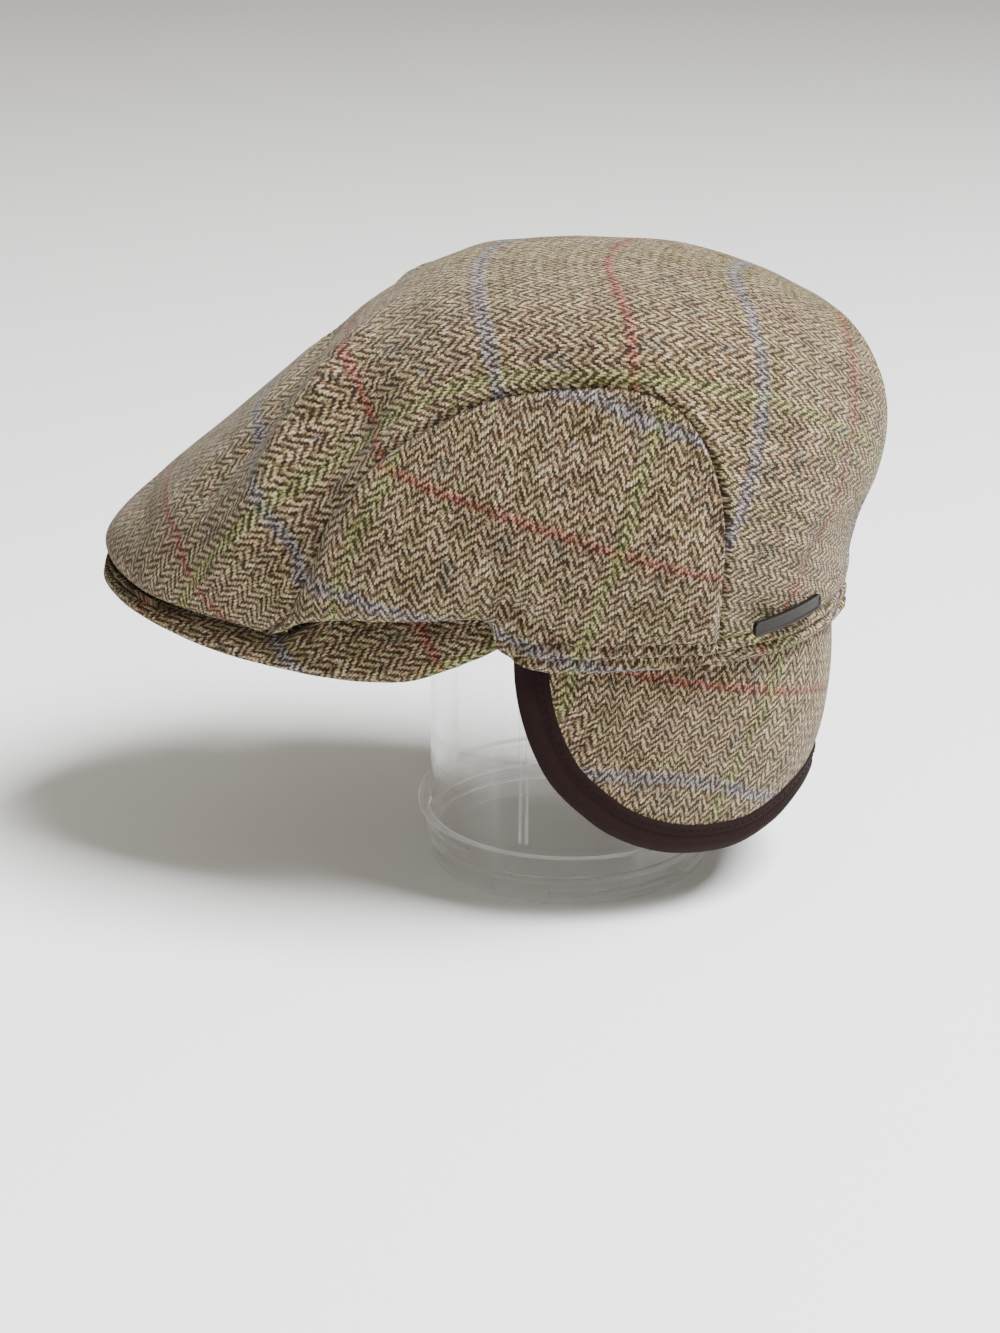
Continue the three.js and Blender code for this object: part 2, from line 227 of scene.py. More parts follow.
# The left half of each section of the crown, from the front edge over the peak to the hem at the back: the
# middle as (y, z), then the shoulder, the seam, the belly, the fold and the base as (x, y, z).
SECTIONS = (
    ((-164.5, 107.5), (46, -140, 104.2), (68.2, -93, 100.8), (69.4, -90.6, 101.4),
     (70.6, -88, 102.2), (71.8, -85, 103.4)),
    ((-165, 116), (50, -140, 113), (75.5, -84.5, 109), (77.3, -80.8, 109), (76.6, -78.6, 108),
     (71.8, -77.8, 108)),
    ((-151, 131.5), (54, -130.5, 128), (79.5, -75.5, 128), (82.5, -74, 119), (80.3, -72.5, 110.5),
     (70, -71, 110.7)),
    ((-129, 150), (56, -114.5, 146), (80.8, -70, 145), (85, -69, 128), (82.5, -65.5, 112.6),
     (69, -63, 112.6)),
    ((-105, 170), (56, -94, 165.5), (82, -57.5, 160), (87, -56, 134), (84.2, -53, 114.2), (70, -51, 113.2)),
    ((-76, 194.5), (55, -68, 189.5), (80.5, -42, 172.5), (88.5, -40, 141), (85.6, -36, 116),
     (73.5, -34, 113.6)),
    ((-43, 213), (56, -38, 206.5), (78.5, -22.5, 183), (89.8, -20, 146), (86.3, -17, 119),
     (76.5, -17.5, 112)),
    ((-20, 216.3), (56.5, -20, 210.3), (77.5, -9, 187.5), (90.3, -8, 147.5), (86, -8, 121),
     (79, -12.5, 103.3)),
    ((6, 217.4), (56.5, 4, 211.8), (77, 9, 190.4), (90.3, 6, 148), (85.6, 5, 121.5), (79.7, 3, 96.5)),
    ((36, 216.8), (56, 30, 211), (77, 28, 190.9), (89.5, 26, 148), (84.3, 23, 121), (77.4, 22.5, 96.5)),
    ((68, 209.8), (54, 55, 203.5), (77.3, 44, 184.5), (87, 40, 145), (81.6, 37, 119), (73.2, 37, 96.5)),
    ((91, 198), (52, 74, 189), (79, 54, 171), (84, 49.5, 137), (78, 46, 115), (69.6, 45.5, 96.5)),
    ((103, 180), (50, 86, 171), (79.6, 58.5, 155), (81, 55, 128), (75.5, 52, 110), (67.1, 50.5, 96.5)),
    ((106, 160), (48.5, 89, 151), (79, 59.5, 140), (78.8, 57, 121), (73.5, 54.7, 107), (66, 52.6, 96.5)),
    ((101.5, 137), (47, 86.5, 131), (75.6, 58.3, 124), (74.7, 57, 114.5), (71, 55.6, 105), (66, 53, 96.5)),
    ((95.5, 117), (44.5, 83, 114), (70, 57.3, 110), (69.4, 56.8, 105.6), (67.9, 55.8, 101),
     (65.6, 53.7, 96.5)),
    ((95, 96.5), (42, 80.5, 96.5), (64, 56.2, 96.5), (64.4, 55.6, 96.5), (64.8, 55, 96.5),
     (65.2, 54.4, 96.5)),
)

# The peak, from its tip to its left end: direction from straight ahead in degrees, height of the rim's
# lower edge, how far in the crown's edge sits, height of the top there and at the head opening, and how
# far the rim draws in where it tucks under the side panel.
PEAK_COLUMNS = ("turn", "rim_z", "lip", "lip_z", "inner_z", "tuck")
PEAK_ROWS = (
    (0, 102, 4, 106, 112, 0), (10, 100.2, 4.5, 105, 111.5, 0), (16, 98, 5, 103, 111, 0),
    (22, 95.2, 5.5, 101.5, 110.5, 0), (30, 92, 6.5, 99.3, 110, 0), (38, 89.5, 8, 99.6, 110.5, 0),
    (42, 88.6, 9.5, 105.5, 111, 0), (46, 87.8, 14, 110.8, 112.5, 0), (53, 87.6, 14, 112, 116, 0),
    (62, 89, 10.3, 112.5, 120, 0), (72, 94.8, 6.3, 112, 122, 0), (77, 98.3, 4.6, 111.5, 122.5, 0.9),
    (81, 101.2, 3.6, 110.5, 122.5, 3.2), (86, 103, 3.6, 110, 122.5, 5),
)
PEAK_THICK = 3.2

# The flap's lower edge from the left ear to the middle of the back: direction in degrees and height
FLAP_EDGE = (
    (83.3, 100), (83.8, 90.8), (85.3, 80), (88.3, 67.5), (93.3, 54.5), (101.5, 43), (110, 34.3),
    (122, 27.4), (134, 24.1), (147, 23.3), (159, 26.5), (170, 31.5), (180, 34),
)
FLAP_TOP_Z = 103
FLAP_THICK = 3.2
FLAP_GAP = 1.7
FLAP_LOW_Z = 24
FLAP_LEAN = 9.5
FLAP_BULGE = 2.5
TAPE_WIDTH = 12


def spline_weights(place: np.ndarray, count: int) -> tuple[np.ndarray, np.ndarray]:
    """Which rows of a table count at each place, and how much, on a smooth curve through them.

    Args:
        place: places counted in rows.
        count: how many rows the table has.

    Returns:
        Four row numbers for each place, in the table padded by a row at each end, and their weights.
    """
    first = np.clip(np.floor(place).astype(int), 0, count - 2)
    f = place - first
    weights = (
        (-f**3 + 2 * f**2 - f) / 2,
        (3 * f**3 - 5 * f**2 + 2) / 2,
        (-3 * f**3 + 4 * f**2 + f) / 2,
        (f**3 - f**2) / 2,
    )
    return first[:, None] + np.arange(4), np.stack(weights, 1)


def pad(rows: np.ndarray) -> np.ndarray:
    """The rows with one more at each end, straight on from the two that are there."""
    return np.concatenate([[2 * rows[0] - rows[1]], rows, [2 * rows[-1] - rows[-2]]])


def through(rows: np.ndarray, place: np.ndarray) -> np.ndarray:
    """A smooth value through the rows of a table at each place.

    Args:
        rows: one value or point a row.
        place: places counted in rows.

    Returns:
        One value or point for each place.
    """
    index, weight = spline_weights(place, len(rows))
    return np.einsum("nk,nk...->n...", weight, pad(rows)[index])


def smooth(low: float, high: float, value: np.ndarray) -> np.ndarray:
    """0 below low, 1 above high and a smooth rise between them."""
    f = np.clip((value - low) / (high - low), 0, 1)
    return f * f * (3 - 2 * f)


def bump(distance: np.ndarray, width: float) -> np.ndarray:
    """A rounded hump, 1 at distance 0 and all but gone two widths away."""
    return np.exp(-((distance / width) ** 2))


def polar(turn: np.ndarray, radius: np.ndarray, z: np.ndarray) -> np.ndarray:
    """Points at directions from straight ahead in degrees, radii and heights."""
    a = np.radians(turn)
    return np.stack([radius * np.sin(a), -radius * np.cos(a), z + 0 * a], -1)


def plan_radius(centre_y: float, half_width: float, half_length: float, power: float,
                turn: np.ndarray) -> np.ndarray:
    """Radius, in each direction, of a rounded plan outline whose centre lies on the middle line.

    Args:
        centre_y: where the centre lies, in front of the axis if negative.
        half_width: half its width.
        half_length: half its length.
        power: 2 for an ellipse, more for a squarer outline.
        turn: directions from straight ahead in degrees.

    Returns:
        One radius for each direction.
    """
    low, high = np.zeros_like(turn), np.full_like(turn, 2 * half_length)
    for _ in range(22):
        radius = (low + high) / 2
        at = polar(turn, radius, 0 * turn)
        inside = abs(at[:, 0] / half_width) ** power + abs((at[:, 1] - centre_y) / half_length) ** power < 1
        low, high = np.where(inside, radius, low), np.where(inside, high, radius)
    return low


def hem_radius(turn: np.ndarray) -> np.ndarray:
    """Radius of the crown's hem in each direction."""
    return plan_radius(*HEM_PLAN, turn)


class Crown:
    """The crown's outer face. t counts sections from the front, and s guide points from the middle."""

    def __init__(self) -> None:
        """Lays out the guide points of both halves as one net, smooth over the seams, and as a creased one."""
        half = np.array([[(0, *middle), *rest] for middle, *rest in SECTIONS], float)
        creased = half.copy()
        creased[:, SEAM - 1] = 2 * half[:, SEAM] - half[:, SEAM + 1]
        self.smooth_net, self.creased_net = (
            pad(pad(np.concatenate([h[:, :0:-1] * (-1, 1, 1), h], 1).swapaxes(0, 1)).swapaxes(0, 1))
            for h in (half, creased))

    def point(self, t: np.ndarray, s: np.ndarray) -> np.ndarray:
        """The points of the face at each t and s, in millimetres."""
        rows, row_weight = spline_weights(t, len(SECTIONS))
        lines, line_weight = spline_weights(s + BASE, 2 * BASE + 1)
        at = rows[:, :, None], lines[:, None, :]
        net = np.where((abs(s) > SEAM)[:, None, None, None], self.creased_net[at], self.smooth_net[at])
        return np.einsum("na,nb,nabx->nx", row_weight, line_weight, net)

    def normal(self, t: np.ndarray, s: np.ndarray) -> np.ndarray:
        """The outward directions at each t and s."""
        d = 0.02
        along = self.point(np.minimum(t + d, LAST_SECTION), s) - self.point(np.maximum(t - d, 0), s)
        across = self.point(t, np.minimum(s + d, BASE)) - self.point(t, np.maximum(s - d, -BASE))
        out = np.cross(across, along)
        return out / np.linalg.norm(out, axis=1, keepdims=True)

    def gap_share(self, t: np.ndarray) -> np.ndarray:
        """How much of the stretch from seam to belly makes the clearance between two panels."""
        step = self.point(t, 0 * t + SEAM) - self.point(t, 0 * t + SEAM + 1)
        return np.minimum(PANEL_GAP / np.linalg.norm(step, axis=1), 0.45)


CROWN = Crown()


@dataclass(frozen=True)
class Fold:
    """A soft fold of the crown along a path of (t, s) places: a ridge, or a valley if height is below 0."""

    path: tuple[tuple[float, float], ...]
    width: float
    height: float

    def lift(self, points: np.ndarray) -> np.ndarray:
        """How far the fold lifts each of the crown's points, in millimetres."""
        places = np.array(self.path, float)
        step = np.linspace(0, len(places) - 1, 24)
        at = through(places, step)
        line = CROWN.point(at[:, 0], at[:, 1])
        far = np.linalg.norm(points[:, None] - line[None], axis=2)
        nearest = far.argmin(1)
        run = nearest / (len(line) - 1)
        fade = smooth(0, 0.25, run + 0.06) * smooth(0, 0.25, 1.06 - run)
        return self.height * fade * bump(far.min(1), self.width)


# The crown's main folds and dents. Each is there on the right too, as its mirror image.
FOLDS = {
    "front_ridge": Fold(((5.6, 0.5), (4.9, 1.05), (4.25, 1.22), (3.6, 1.38), (3.0, 1.47), (2.0, 1.48),
                         (1.1, 1.42)), 7, 6),
    "front_hollow": Fold(((5.4, 1.35), (4.6, 1.6), (3.9, 1.75), (3.0, 1.86), (2.3, 1.84), (1.6, 1.76)), 8, -5),
    "brow_hollow": Fold(((4.8, 0), (4.6, 0.45), (4.1, 0.8), (3.3, 0.98), (2.4, 1.0)), 8, -4),
    "tip_hollow": Fold(((2.1, 0), (2.0, 0.5), (1.8, 0.8)), 8, -1.8),
    "crown_edge": Fold(((7.4, 1.5), (8.6, 1.55), (10.0, 1.55)), 9, 1.2),
    "back_dent": Fold(((14.2, 0), (14.1, 0.6), (13.9, 1.2)), 9, -2.4),
    "back_roll": Fold(((15.2, 0), (15.2, 0.6), (15.1, 1.1)), 5, 1.2),
    "back_gather": Fold(((14.4, 1.55), (15.0, 1.5), (15.6, 1.4)), 4, -1.1),
    "side_puff": Fold(((3.6, 3.6), (4.6, 3.65), (5.8, 3.65), (6.6, 3.6)), 9, 1.8),
    "side_crease": Fold(((6.1, 3.95), (7.0, 4.05), (7.8, 4.3), (8.4, 4.6)), 4.2, -2.8),
    "side_roll": Fold(((7.0, 3.6), (7.9, 3.8), (8.9, 4.0)), 6, 1.0),
    "side_dent": Fold(((5.4, 2.9), (6.4, 3.2), (7.2, 3.6)), 9, -1.2),
    "seam_hollow": Fold(((11.2, 2.35), (12.2, 2.5), (13.2, 2.8)), 5, -0.8),
}


def roughness_of_cloth(points: np.ndarray, size: float, seed: int) -> np.ndarray:
    """Smooth random heights from -1 to 1.

    Args:
        points: places in millimetres.
        size: how wide a swell is, in millimetres.
        seed: which pattern to take.

    Returns:
        One height for each place.
    """
    shift = Vector((seed * 31.7, seed * 17.3, seed * 7.9))
    return np.array([noise.noise(Vector(p) / size + shift) for p in points])


def crown_lift(t: np.ndarray, s: np.ndarray, points: np.ndarray) -> np.ndarray:
    """How far the cloth of the crown stands out from its plain form, in millimetres.

    Args:
        t: places along the crown.
        s: places across it.
        points: the plain form's points there.

    Returns:
        One height for each point.
    """
    mirrored = points * (-1, 1, 1)
    lift = sum(fold.lift(points) + fold.lift(mirrored) for fold in FOLDS.values())
    lift += 0.55 * roughness_of_cloth(points, 34, 1) + 0.22 * roughness_of_cloth(points, 13, 2)
    above_hem = points[:, 2] - HEM_Z
    at_hem = smooth(6.9, 7.6, t) * np.maximum(smooth(3.2, 3.8, abs(s)), smooth(14.3, 14.9, t))
    sewn_down = sum(bump(above_hem - height, 0.8) for height in HEM_STITCHES)
    lift += at_hem * (-1.3 * bump(above_hem, 1.1) - 1.2 * sewn_down
                      + 0.4 * bump(above_hem - 7.5, 1.2) + 0.4 * bump(above_hem - 2.6, 1.2))
    seam = CROWN.point(t, np.where(s < 0, -SEAM, SEAM) + 0 * t)
    from_seam = np.linalg.norm(points - seam, axis=1)
    lift += 0.35 * bump(from_seam - 3.4, 2.0) + 0.22 * roughness_of_cloth(seam, 8, 3) * np.exp(-from_seam / 6)
    from_front = np.linalg.norm(points - CROWN.point(0 * t, s), axis=1)
    lift += smooth(2.5, 1.5, abs(s)) * (-1.6 * bump(from_front, 1.3) + 0.5 * bump(from_front - 4, 2.6))
    middle = abs(points[:, 0])
    lift += smooth(CUT_FROM, CUT_FROM + 0.8, t) * (-0.9 * bump(middle, 0.8) + 0.35 * bump(middle - 3, 1.6))
    panel_width = np.linalg.norm(seam - CROWN.point(t, np.where(s < 0, -BASE, BASE) + 0 * t), axis=1)
    at_seam = np.where(abs(s) > SEAM, 1, bump(from_seam, 8))
    room = 1 - at_seam * (1 - smooth(4, 22, panel_width))
    return lift * room - 1.9 * bump(from_seam, 1.3) * smooth(1, 6, panel_width)


def crown_cloth(t: np.ndarray, s: np.ndarray) -> np.ndarray:
    """Points of the crown's cloth with its folds, seams and hem, in millimetres."""
    points = CROWN.point(t, s)
    seam_s = np.where(s < 0, -SEAM, SEAM)
    near_seam = bump(np.linalg.norm(points - CROWN.point(t, seam_s), axis=1), 4)[:, None]
    out = CROWN.normal(t, s) * (1 - near_seam) + CROWN.normal(t, seam_s) * near_seam
    return points + out * crown_lift(t, s, points)[:, None]


def spread(low: float, high: float, dense: Callable[[np.ndarray], np.ndarray],
           share: np.ndarray) -> np.ndarray:
    """Places from low to high for shares of the way, closer together where a density is high.

    Args:
        low: the place at share 0.
        high: the place at share 1.
        dense: how many lines a place wants, compared with others.
        share: shares of the way from 0 to 1.

    Returns:
        One place for each share.
    """
    place = np.linspace(low, high, 2000)
    total = np.concatenate([[0], np.cumsum(dense((place[1:] + place[:-1]) / 2))])
    return np.interp(share, total / total[-1], place)


class FlatPattern:
    """The flat shape that a curved piece of cloth was cut to, with the weave's own two directions.

    The piece is unrolled with as little stretch as can be, while the overcheck's lines are drawn to where
    the photograph shows them.
    """

    COLUMNS, ROWS = 17, 33
    ROUNDS = 40
    PULL = 1.5

    def __init__(self, surface: Surface, lines: tuple[CheckLine, ...], turn: float = 0,
                 fold: float = 0) -> None:
        """Unrolls a surface.

        Args:
            surface: gives points in millimetres for two shares from 0 to 1, across and along.
            lines: the overcheck lines that show on it.
            turn: about how far the weave is turned on the piece, in degrees.
            fold: over how much of its length the first edge is a fold, on the weave's zero line.
        """
        share = np.linspace(0, 1, self.COLUMNS), np.linspace(0, 1, self.ROWS)
        a, b = (m.ravel() for m in np.meshgrid(*share))
        points = surface(a, b)
        slopes, weight = self.slopes(points)
        net = points.reshape(self.ROWS, self.COLUMNS, 3)
        width, length = (np.linalg.norm(np.diff(net, axis=k), axis=2).sum(k).mean() for k in (1, 0))
        spin = math.radians(turn)
        lay = np.array([[math.cos(spin), math.sin(spin)], [-math.sin(spin), math.cos(spin)]])
        flat = rough = np.stack([(a - 0.5) * width, (b - 0.5) * length], 1) @ lay
        pulls = []
        for grain in Grain:
            held, goal = [np.zeros((1, len(a)))], [np.zeros(1)]
            for line in lines:
                if line.grain is grain:
                    held.append(self.PULL * self.weights(*PHOTO.find(surface, line.seen)))
                    goal.append(np.full(len(line.seen), self.PULL * line.place))
            if fold and grain is Grain.WARP:
                edge = np.linspace(0, fold, 16)
                held.append(3 * self.PULL * self.weights(0 * edge, edge))
                goal.append(0 * edge)
            held, goal = np.concatenate(held), np.concatenate(goal)
            loose = 1e-6
            stiff = slopes.T @ slopes + held.T @ held + loose * np.eye(len(a))
            pulls.append((np.linalg.inv(stiff), held.T @ goal + loose * rough[:, grain.value]))
        for _ in range(self.ROUNDS):
            stretch = (slopes @ flat).reshape(-1, 2, 2)
            angle = np.arctan2(stretch[:, 0, 1] - stretch[:, 1, 0], stretch[:, 0, 0] + stretch[:, 1, 1])
            rigid = np.stack([np.cos(angle), np.sin(angle), -np.sin(angle), np.cos(angle)], 1)
            push = slopes.T @ (rigid * weight[:, None]).reshape(-1, 2)
            flat = np.stack([inverse @ (push[:, k] + pull) for k, (inverse, pull) in enumerate(pulls)], 1)
        self.grid = flat.reshape(self.ROWS, self.COLUMNS, 2)
        self.size = flat.max(0) - flat.min(0)
        self.area = float((weight**2).sum())

    def slopes(self, points: np.ndarray) -> tuple[np.ndarray, np.ndarray]:
        """How a flat layout changes along each triangle of the curved piece.

        Args:
            points: the curved piece's points, row by row.

        Returns:
            A matrix that turns a value at each point into two weighted slopes for each triangle, and the
            weight of each triangle.
        """
        corner = np.arange(len(points)).reshape(self.ROWS, self.COLUMNS)
        lower = np.stack([corner[:-1, :-1], corner[:-1, 1:], corner[1:, 1:]], -1).reshape(-1, 3)
        upper = np.stack([corner[:-1, :-1], corner[1:, 1:], corner[1:, :-1]], -1).reshape(-1, 3)
        triangle = np.concatenate([lower, upper])
        p, q, r = points[triangle].swapaxes(0, 1)
        base = np.linalg.norm(q - p, axis=1) + 1e-6
        x = (q - p) / base[:, None]
        normal = np.cross(q - p, r - p)
        double = np.maximum(np.linalg.norm(normal, axis=1), 1e-3)
        y = np.cross(normal / double[:, None], x)
        rx, ry = ((r - p) * x).sum(1), ((r - p) * y).sum(1)
        slope = np.stack([np.stack([-ry, ry, 0 * ry], 1), np.stack([rx - base, -rx, base], 1)], 1)
        weight = np.sqrt(double / 2)
        matrix = np.zeros((len(triangle), 2, len(points)))
        number = np.arange(len(triangle))
        matrix[number[:, None, None], np.arange(2)[None, :, None], triangle[:, None, :]] = (
            slope * (weight / double)[:, None, None])
        return matrix.reshape(-1, len(points)), weight

    def weights(self, a: np.ndarray, b: np.ndarray) -> np.ndarray:
        """How much each point of the grid counts at each pair of shares, one row for each pair."""
        column = np.clip(a * (self.COLUMNS - 1), 0, self.COLUMNS - 1.001)
        row = np.clip(b * (self.ROWS - 1), 0, self.ROWS - 1.001)
        near = np.maximum(1 - abs(row[:, None] - np.arange(self.ROWS)), 0)
        beside = np.maximum(1 - abs(column[:, None] - np.arange(self.COLUMNS)), 0)
        return (near[:, :, None] * beside[:, None, :]).reshape(len(a), -1)

    def uv(self, a: np.ndarray, b: np.ndarray) -> np.ndarray:
        """The flat place of each pair of shares, in metres."""
        rows, row_weight = spline_weights(b * (self.ROWS - 1), self.ROWS)
        lines, line_weight = spline_weights(a * (self.COLUMNS - 1), self.COLUMNS)
        net = pad(pad(self.grid.swapaxes(0, 1)).swapaxes(0, 1))
        return MM * np.einsum("na,nb,nabx->nx", row_weight, line_weight,
                              net[rows[:, :, None], lines[:, None, :]])


# Cloth pieces


def grid_object(name: str, columns: int, rows: int, surface: Surface, weave: Surface,
                fullness: Surface | None = None) -> bpy.types.Object:
    """A rectangle of cloth laid over a curved surface.

    Args:
        name: the piece's name.
        columns: how many faces lie side by side.
        rows: how many faces follow each other.
        surface: gives points in millimetres for shares across and along.
        weave: gives the cloth's own places there, in metres.
        fullness: gives how much of its thickness the cloth gets there, or None for all of it.

    Returns:
        The piece, as a single face-thick sheet that faces outwards.
    """
    sheet = bmesh.new()
    bmesh.ops.create_grid(sheet, x_segments=columns, y_segments=rows, size=0.5)
    mesh = new_mesh(name, sheet)
    places = np.empty(len(mesh.vertices) * 3)
    mesh.vertices.foreach_get("co", places)
    a, b = np.clip(places.reshape(-1, 3)[:, :2].T + 0.5, 0, 1)
    mesh.vertices.foreach_set("co", (MM * (surface(a, b) + (0, AXIS_Y, 0))).ravel())
    piece = new_object(name, mesh)
    if fullness:
        levels = fullness(a, b).round(2)
        group = piece.vertex_groups.new(name="fullness")
        for level in np.unique(levels):
            group.add(np.flatnonzero(levels == level).tolist(), float(level), "REPLACE")
    corner = np.empty(len(mesh.loops), int)
    mesh.loops.foreach_get("vertex_index", corner)
    # Each corner leans a hair into its own face, so that the faces on either side of a cut keep to their side.
    a, b = (0.999 * m[corner] + 0.001 * m[corner].reshape(-1, 4).mean(1).repeat(4) for m in (a, b))
    mesh.uv_layers.new(name="cloth").data.foreach_set("uv", weave(a, b).ravel())
    mesh.update()
    return piece


def wall(piece: bpy.types.Object, thick: float) -> None:
    """Gives a sheet its thickness in millimetres, inwards."""
    solid = piece.modifiers.new("wall", "SOLIDIFY")
    solid.thickness = thick * MM
    solid.offset = -1
    solid.use_even_offset = False
    solid.use_rim = True
    if piece.vertex_groups:
        solid.vertex_group = piece.vertex_groups[0].name


@dataclass(frozen=True)
class StitchRow:
    """A row of machine stitches, each a short thread that dives into the cloth at both ends."""

    name: str
    length: float = 2.7
    gap: float = 0.8
    thick: float = 0.42
    arc: tuple[float, ...] = (-0.4, 0.02, 0.12, 0.02, -0.4)

    def sew(self, path: np.ndarray, outwards: np.ndarray, thread: bpy.types.Material) -> None:
        """Makes the row.

        Args:
            path: points along the row, in millimetres.
            outwards: the cloth's outward direction at each.
            thread: the thread's material.
        """
        run = np.concatenate([[0], np.linalg.norm(np.diff(path, axis=0), axis=1).cumsum()])
        curve = bpy.data.curves.new(self.name, "CURVE")
        curve.dimensions = "3D"
        curve.bevel_depth, curve.bevel_resolution, curve.use_fill_caps = self.thick / 2 * MM, 1, True
        for start in np.arange(0.5, run[-1] - self.length, self.length + self.gap):
            at = start + np.linspace(0, self.length, len(self.arc))
            point = np.stack([np.interp(at, run, axis) for axis in path.T], 1)
            out = np.stack([np.interp(at, run, axis) for axis in outwards.T], 1)
            place = MM * (point + out * np.array(self.arc)[:, None] + (0, AXIS_Y, 0))
            spline = curve.splines.new("POLY")
            spline.points.add(len(at) - 1)
            spline.points.foreach_set("co", np.c_[place, np.ones(len(at))].ravel())
        piece = new_object(self.name, curve)
        curve.materials.append(thread)
        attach(piece, "root")
        log.info("%s: %d stitches", self.name, len(curve.splines))


def finish_piece(piece: bpy.types.Object, material: bpy.types.Material, slot: Slot, *nodes: str) -> None:
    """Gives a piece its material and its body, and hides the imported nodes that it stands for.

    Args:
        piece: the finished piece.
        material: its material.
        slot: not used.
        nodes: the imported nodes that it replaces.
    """
    piece.data.materials.clear()
    piece.data.materials.append(material)
    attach(piece, "root")
    if nodes:
        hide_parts(*nodes)
    log.info("%s: %d faces", piece.name, len(piece.data.polygons))


@dataclass
class CrownPanel:
    """One sewn panel of the crown, between two lines of places across it."""

    name: str
    node: str
    low: Callable[[np.ndarray], np.ndarray]
    high: Callable[[np.ndarray], np.ndarray]
    columns: int
    rows: int
    dense_across: Callable[[np.ndarray], np.ndarray]
    dense_along: Callable[[np.ndarray], np.ndarray]

    def places(self, a: np.ndarray, b: np.ndarray) -> tuple[np.ndarray, np.ndarray]:
        """The crown's t and s at each pair of shares."""
        t = spread(0, LAST_SECTION, self.dense_along, b)
        share = spread(0, 1, self.dense_across, a)
        low, high = self.low(t), self.high(t)
        return t, low + (high - low) * share

    def plain(self, a: np.ndarray, b: np.ndarray) -> np.ndarray:
        """The points of the panel's plain form."""
        return CROWN.point(*self.places(a, b))

    def fullness(self, a: np.ndarray, b: np.ndarray) -> np.ndarray:
        """How much of its thickness the cloth gets: little where a side panel comes to a point."""
        t, s = self.places(a, b)
        width = np.linalg.norm(CROWN.point(t, 0 * t + SEAM) - CROWN.point(t, 0 * t + BASE), axis=1)
        return np.where(abs(s) > SEAM, 0.15 + 0.85 * smooth(3, 20, width), 1)

    def build(self, weave: Surface, material: bpy.types.Material) -> None:
        """Makes the panel and dresses it."""
        piece = grid_object(self.name, self.columns, self.rows,
                            lambda a, b: crown_cloth(*self.places(a, b)), weave, self.fullness)
        wall(piece, CLOTH - 0.4)
        finish_piece(piece, material, Slot.TWEED, self.node)


@dataclass
class CrownCover:
    """The crown's cloth: the centre panel, the two side panels and the stitches round the hem."""

    top_grid: tuple[int, int] = (128, 290)
    side_grid: tuple[int, int] = (96, 190)
    stitch_rows: tuple[float, ...] = HEM_STITCHES

    def build(self, tweed: bpy.types.Material, thread: bpy.types.Material) -> None:
        """Makes the panels and sews the hem."""
        self.build_top(tweed)
        self.build_sides(tweed)
        for number, height in enumerate(self.stitch_rows):
            path, outwards = self.hem_path(height)
            StitchRow(f"hem_stitches_{number}").sew(path, outwards, thread)

    def build_top(self, tweed: bpy.types.Material) -> None:
        """Makes the centre panel, a fold down its middle in front of the centre-back seam."""
        top = CrownPanel(
            "crown_cloth", "crown_top", lambda t: 0 * t - SEAM, lambda t: 0 * t + SEAM, *self.top_grid,
            lambda a: 1 + 3 * bump(abs(a - 0.5) - 0.5, 0.03) + 2.5 * bump(a - 0.5, 0.012),
            lambda t: 1 + 1.2 * bump(t, 0.5) + 1.2 * smooth(15, 15.3, t))
        share = np.linspace(0, 1, 400)
        fold = float(np.interp(CUT_FROM, top.places(0 * share, share)[0], share))
        half = FlatPattern(lambda a, b: top.plain(0.5 + a / 2, b), TOP_LINES, fold=fold)
        log.info("crown_cloth: each half cut from %.0f by %.0f mm", *half.size)

        def weave(a: np.ndarray, b: np.ndarray) -> np.ndarray:
            """Both halves of the panel in the half's pattern."""
            return half.uv(abs(2 * a - 1), b) * np.stack([np.sign(a - 0.5), 1 + 0 * a], 1)

        top.build(weave, tweed)

    def build_sides(self, tweed: bpy.types.Material) -> None:
        """Makes the left side panel and its mirror image."""
        near_edges = lambda a: 1 + 2.5 * bump(a, 0.03) + 2.5 * bump(a - 1, 0.03)
        along = lambda t: 1 + 0 * t
        left = CrownPanel("side_cloth_left", "side_panel_left", lambda t: SEAM + CROWN.gap_share(t),
                          lambda t: 0 * t + BASE, *self.side_grid, near_edges, along)
        right = CrownPanel("side_cloth_right", "side_panel_right", lambda t: 0 * t - BASE,
                           lambda t: -SEAM - CROWN.gap_share(t), *self.side_grid, near_edges, along)
        pattern = FlatPattern(left.plain, SIDE_LINES, turn=-90)
        log.info("side panels: cut from %.0f by %.0f mm", *pattern.size)
        left.build(pattern.uv, tweed)
        right.build(lambda a, b: pattern.uv(1 - a, b) * (-1, 1), tweed)

    @staticmethod
    def hem_path(height: float) -> tuple[np.ndarray, np.ndarray]:
        """A line round the hem at a height above its edge, from the left ear round the back to the right.

        Args:
            height: millimetres above the edge.

        Returns:
            The line's points, and the cloth's outward direction at each.
        """
        steps = np.linspace(0, 1, 160)
        side_t, side_s = np.linspace(7.5, 15.2, 90), 3.7 + 1.3 * steps
        back_t, back_s = 13.8 + 2.2 * steps, np.linspace(SEAM - 0.05, 0, 40)
        side = [np.interp(-HEM_Z - height, -CROWN.point(t + 0 * steps, side_s)[:, 2], side_s) for t in side_t]
        back = [np.interp(-HEM_Z - height, -CROWN.point(back_t, s + 0 * steps)[:, 2], back_t) for s in back_s]
        t, s = np.r_[side_t, back], np.r_[side, back_s]
        path, outwards = crown_cloth(t, s), CROWN.normal(t, s)
        mirror = np.array([-1, 1, 1])
        return np.r_[path, path[-2::-1] * mirror], np.r_[outwards, outwards[-2::-1] * mirror]


